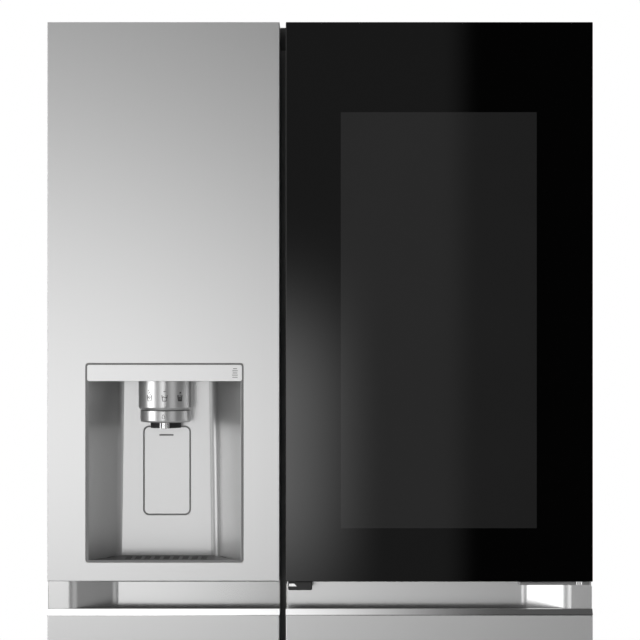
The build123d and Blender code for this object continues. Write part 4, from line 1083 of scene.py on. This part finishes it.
def fans():
    lo, hi = span_of("condenser_fan")
    middle, tip, deep = (lo.x + hi.x) / 2, (hi.y - lo.y) / 2, hi.x - lo.x
    fan_wheel("condenser_fan", "X", CONDENSER_FAN_AXIS, middle, 20, tip, deep, 3.1, 7)
    lo, hi = span_of("evaporator_fan")
    centre = ((lo.x + hi.x) / 2, (lo.z + hi.z) / 2)
    middle, tip, deep = (lo.y + hi.y) / 2, (hi.z - lo.z) / 2, hi.y - lo.y
    fan_wheel("evaporator_fan", "Y", centre, middle, 16, tip, deep, 2.6, 6)
    bm = bmesh.new()
    for radius in (32, 48, 64, 80):  # guard wires on the coil's side
        circle = []
        for k in range(49):
            a = 2 * math.pi * k / 48
            u, v = radius * math.cos(a), radius * math.sin(a)
            circle.append(put_on_axis(CONDENSER_FAN_AXIS, "X", u, v, FAN_GUARD_X))
        wire(bm, circle, 0.9, 8)
    built("fan_guard", bm, "cabinet", "zinc", (), TUBE_ANGLE)


def threaded(bm, centre, axis, start, end, outer, pitch, inner=0.01):
    """A round bar with a thread's ridges."""
    profile = [(inner, start), (outer - 1.0, start)]
    count = int((end - start - 2) / pitch)
    for i in range(count):
        at = start + 1 + i * pitch
        profile += [(outer - 0.9, at), (outer, at + pitch * 0.4)]
        profile += [(outer, at + pitch * 0.55), (outer - 0.9, at + pitch * 0.95)]
    profile += [(outer - 1.0, end), (inner, end)]
    turned(bm, profile, centre, steps=40, axis=axis)


def water_valve():
    centre = (VALVE_X, VALVE_Y)
    bm = bmesh.new()
    brick(bm, VALVE_X - 22, VALVE_X + 22, VALVE_Y - 20, VALVE_Y + 20, 155, 205, 3.0, 3)
    threaded(bm, (VALVE_X, 180), "Y", VALVE_Y + 20, 366, 13.2, 1.8, 8.0)
    turned(bm, [(9, 205), (9, 242), (5, 242), (4, 240), (4, 205)], centre, steps=40)
    built("valve_body", bm, "cabinet", "white_plastic", ("water_valve",), CRISP_ANGLE)
    bm = bmesh.new()
    turned(bm, [(9, 207), (14.4, 207), (15, 208), (15, 236), (14.4, 237), (9, 237)], centre, steps=48)
    brick(bm, VALVE_X + 12, VALVE_X + 22, VALVE_Y - 6, VALVE_Y + 6, 214, 230, 1.0)
    built("valve_coil", bm, "cabinet", "black_plastic", (), CRISP_ANGLE)


def feet():
    pad = [(0.01, 0), (18, 0), (19, 0.8), (19, 5.6), (18.4, 6.8), (16, 9), (0.01, 9)]
    nut = [(0.01, 9), (12, 9), (12, 18.4), (11.2, 19), (0.01, 19)]
    for node in FEET:
        lo, hi = span_of(node)
        at = ((lo.x + hi.x) / 2, (lo.y + hi.y) / 2)
        bm = bmesh.new()
        turned(bm, pad, at, steps=64)
        turned(bm, nut, at, steps=6)
        threaded(bm, at, "Z", 19, hi.z, 5.0, 2.0)
        built(node + "_screw", bm, NODE_BODY[node], "zinc", (node,), smooth_angle=25)


def fittings():
    for node in GASKETS:
        bellows(node)
    screws()
    trims()
    lamps()
    louvres()
    ice_case_details()
    hinge_bits()
    coils()
    pipes()
    fans()
    water_valve()
    feet()


# ---------------------------------------------------------------- studio
EYE_DISTANCE, EYE_HEIGHT = 3.85, 1.286  # metres, from the doors' front and from the floor
VIEW_WIDTH = 1.0706  # metres, at the doors' front


def studio():
    world = bpy.data.worlds.new("studio")
    scene.world = world
    world.use_nodes = True
    tree = world.node_tree
    background = next(n for n in tree.nodes if n.type == "BACKGROUND")
    output = next(n for n in tree.nodes if n.type == "OUTPUT_WORLD")
    coordinates = tree.nodes.new("ShaderNodeTexCoord")
    x, y, z = split(tree, coordinates.outputs["Generated"])
    azimuth = x.math("ARCTAN2", y * -1.0) * (180 / math.pi)
    elevation = z.math("ARCSINE") * (180 / math.pi)

    # angles in degrees; each light is span(start, end, softness) both ways times its strength
    # in front: a soft lamp just left of the lens and a screen behind it that ends sharply on the right
    rise = ((elevation + 3.2) / 3.42).math("ABSOLUTE").math("POWER", 3.0) * -1.0
    glow = rise.math("EXPONENT") * azimuth.step(-1.58, 1.68, 1.0, 0.0) * azimuth.step(-10.5, -4.5) * 2.5
    screen = azimuth.span(-22, 3.5, 0.5) * elevation.span(-34, 12, 6.0) * 0.20
    near = azimuth.span(-20, -2.8, 2.0)
    wide = near * elevation.span(-8, 4.4, 2.0) * 1.10
    tall = near * elevation.span(-30, 16.5, 2.5) * 0.31
    # round the sides, from left to right
    left = azimuth.span(-46, -20, 3.0) * elevation.span(-50, 35, 12) * 0.36
    window = azimuth.span(-78, -45, 1.5) * elevation.span(-55, 50, 10) * 2.3
    right = azimuth.span(12, 46, 3.0) * 0.34 + azimuth.span(22, 46, 3.0) * 0.26
    right = right + azimuth.span(46, 82, 3.0) * 0.2 + azimuth.span(82, 112, 4.0) * 0.6
    right = right * elevation.span(-41, 38, 8.0)
    behind = azimuth.math("ABSOLUTE").step(100, 118) * elevation.span(-60, 60, 20) * 0.65
    behind_left = azimuth.span(-125, -78, 4.0) * elevation.span(-55, 50, 12) * 0.5
    overhead = x.step(-0.045, 0.08, 1.22, 0.075) * elevation.step(52, 66)
    total = glow + screen + wide + tall + left + window + right + behind + behind_left + overhead + 0.012

    rays = tree.nodes.new("ShaderNodeLightPath")
    direct = Value(tree, rays.outputs["Is Camera Ray"])
    strength = total * (direct * -1.0 + 1.0) + direct  # the backdrop itself is plain white
    background.inputs["Color"].default_value = (1, 1, 1, 1)
    feed(tree, background.inputs["Strength"], strength)
    tree.links.new(background.outputs[0], output.inputs["Surface"])

    bpy.ops.mesh.primitive_plane_add(size=6, location=(0, 0, -0.0005))
    floor = bpy.context.object
    floor.name = "studio_floor"
    paint = speckled("studio_paint", grey(0.78), grey(0.80), 40, 0.05, 0.001, 0.7)
    floor.data.materials.append(paint.material)


def camera():
    lens = bpy.data.cameras.new("camera")
    eye = bpy.data.objects.new("camera", lens)
    scene.collection.objects.link(eye)
    scene.camera = eye
    lens.sensor_width = 36
    lens.lens = lens.sensor_width * EYE_DISTANCE / VIEW_WIDTH
    lens.clip_end = 50
    eye.location = (0, low_before.y - EYE_DISTANCE, EYE_HEIGHT)
    eye.rotation_euler = (math.radians(90), 0, 0)
    scene.view_settings.view_transform = "Standard"


make_materials()
finish_nodes()
front_pieces()
fittings()
studio()
camera()
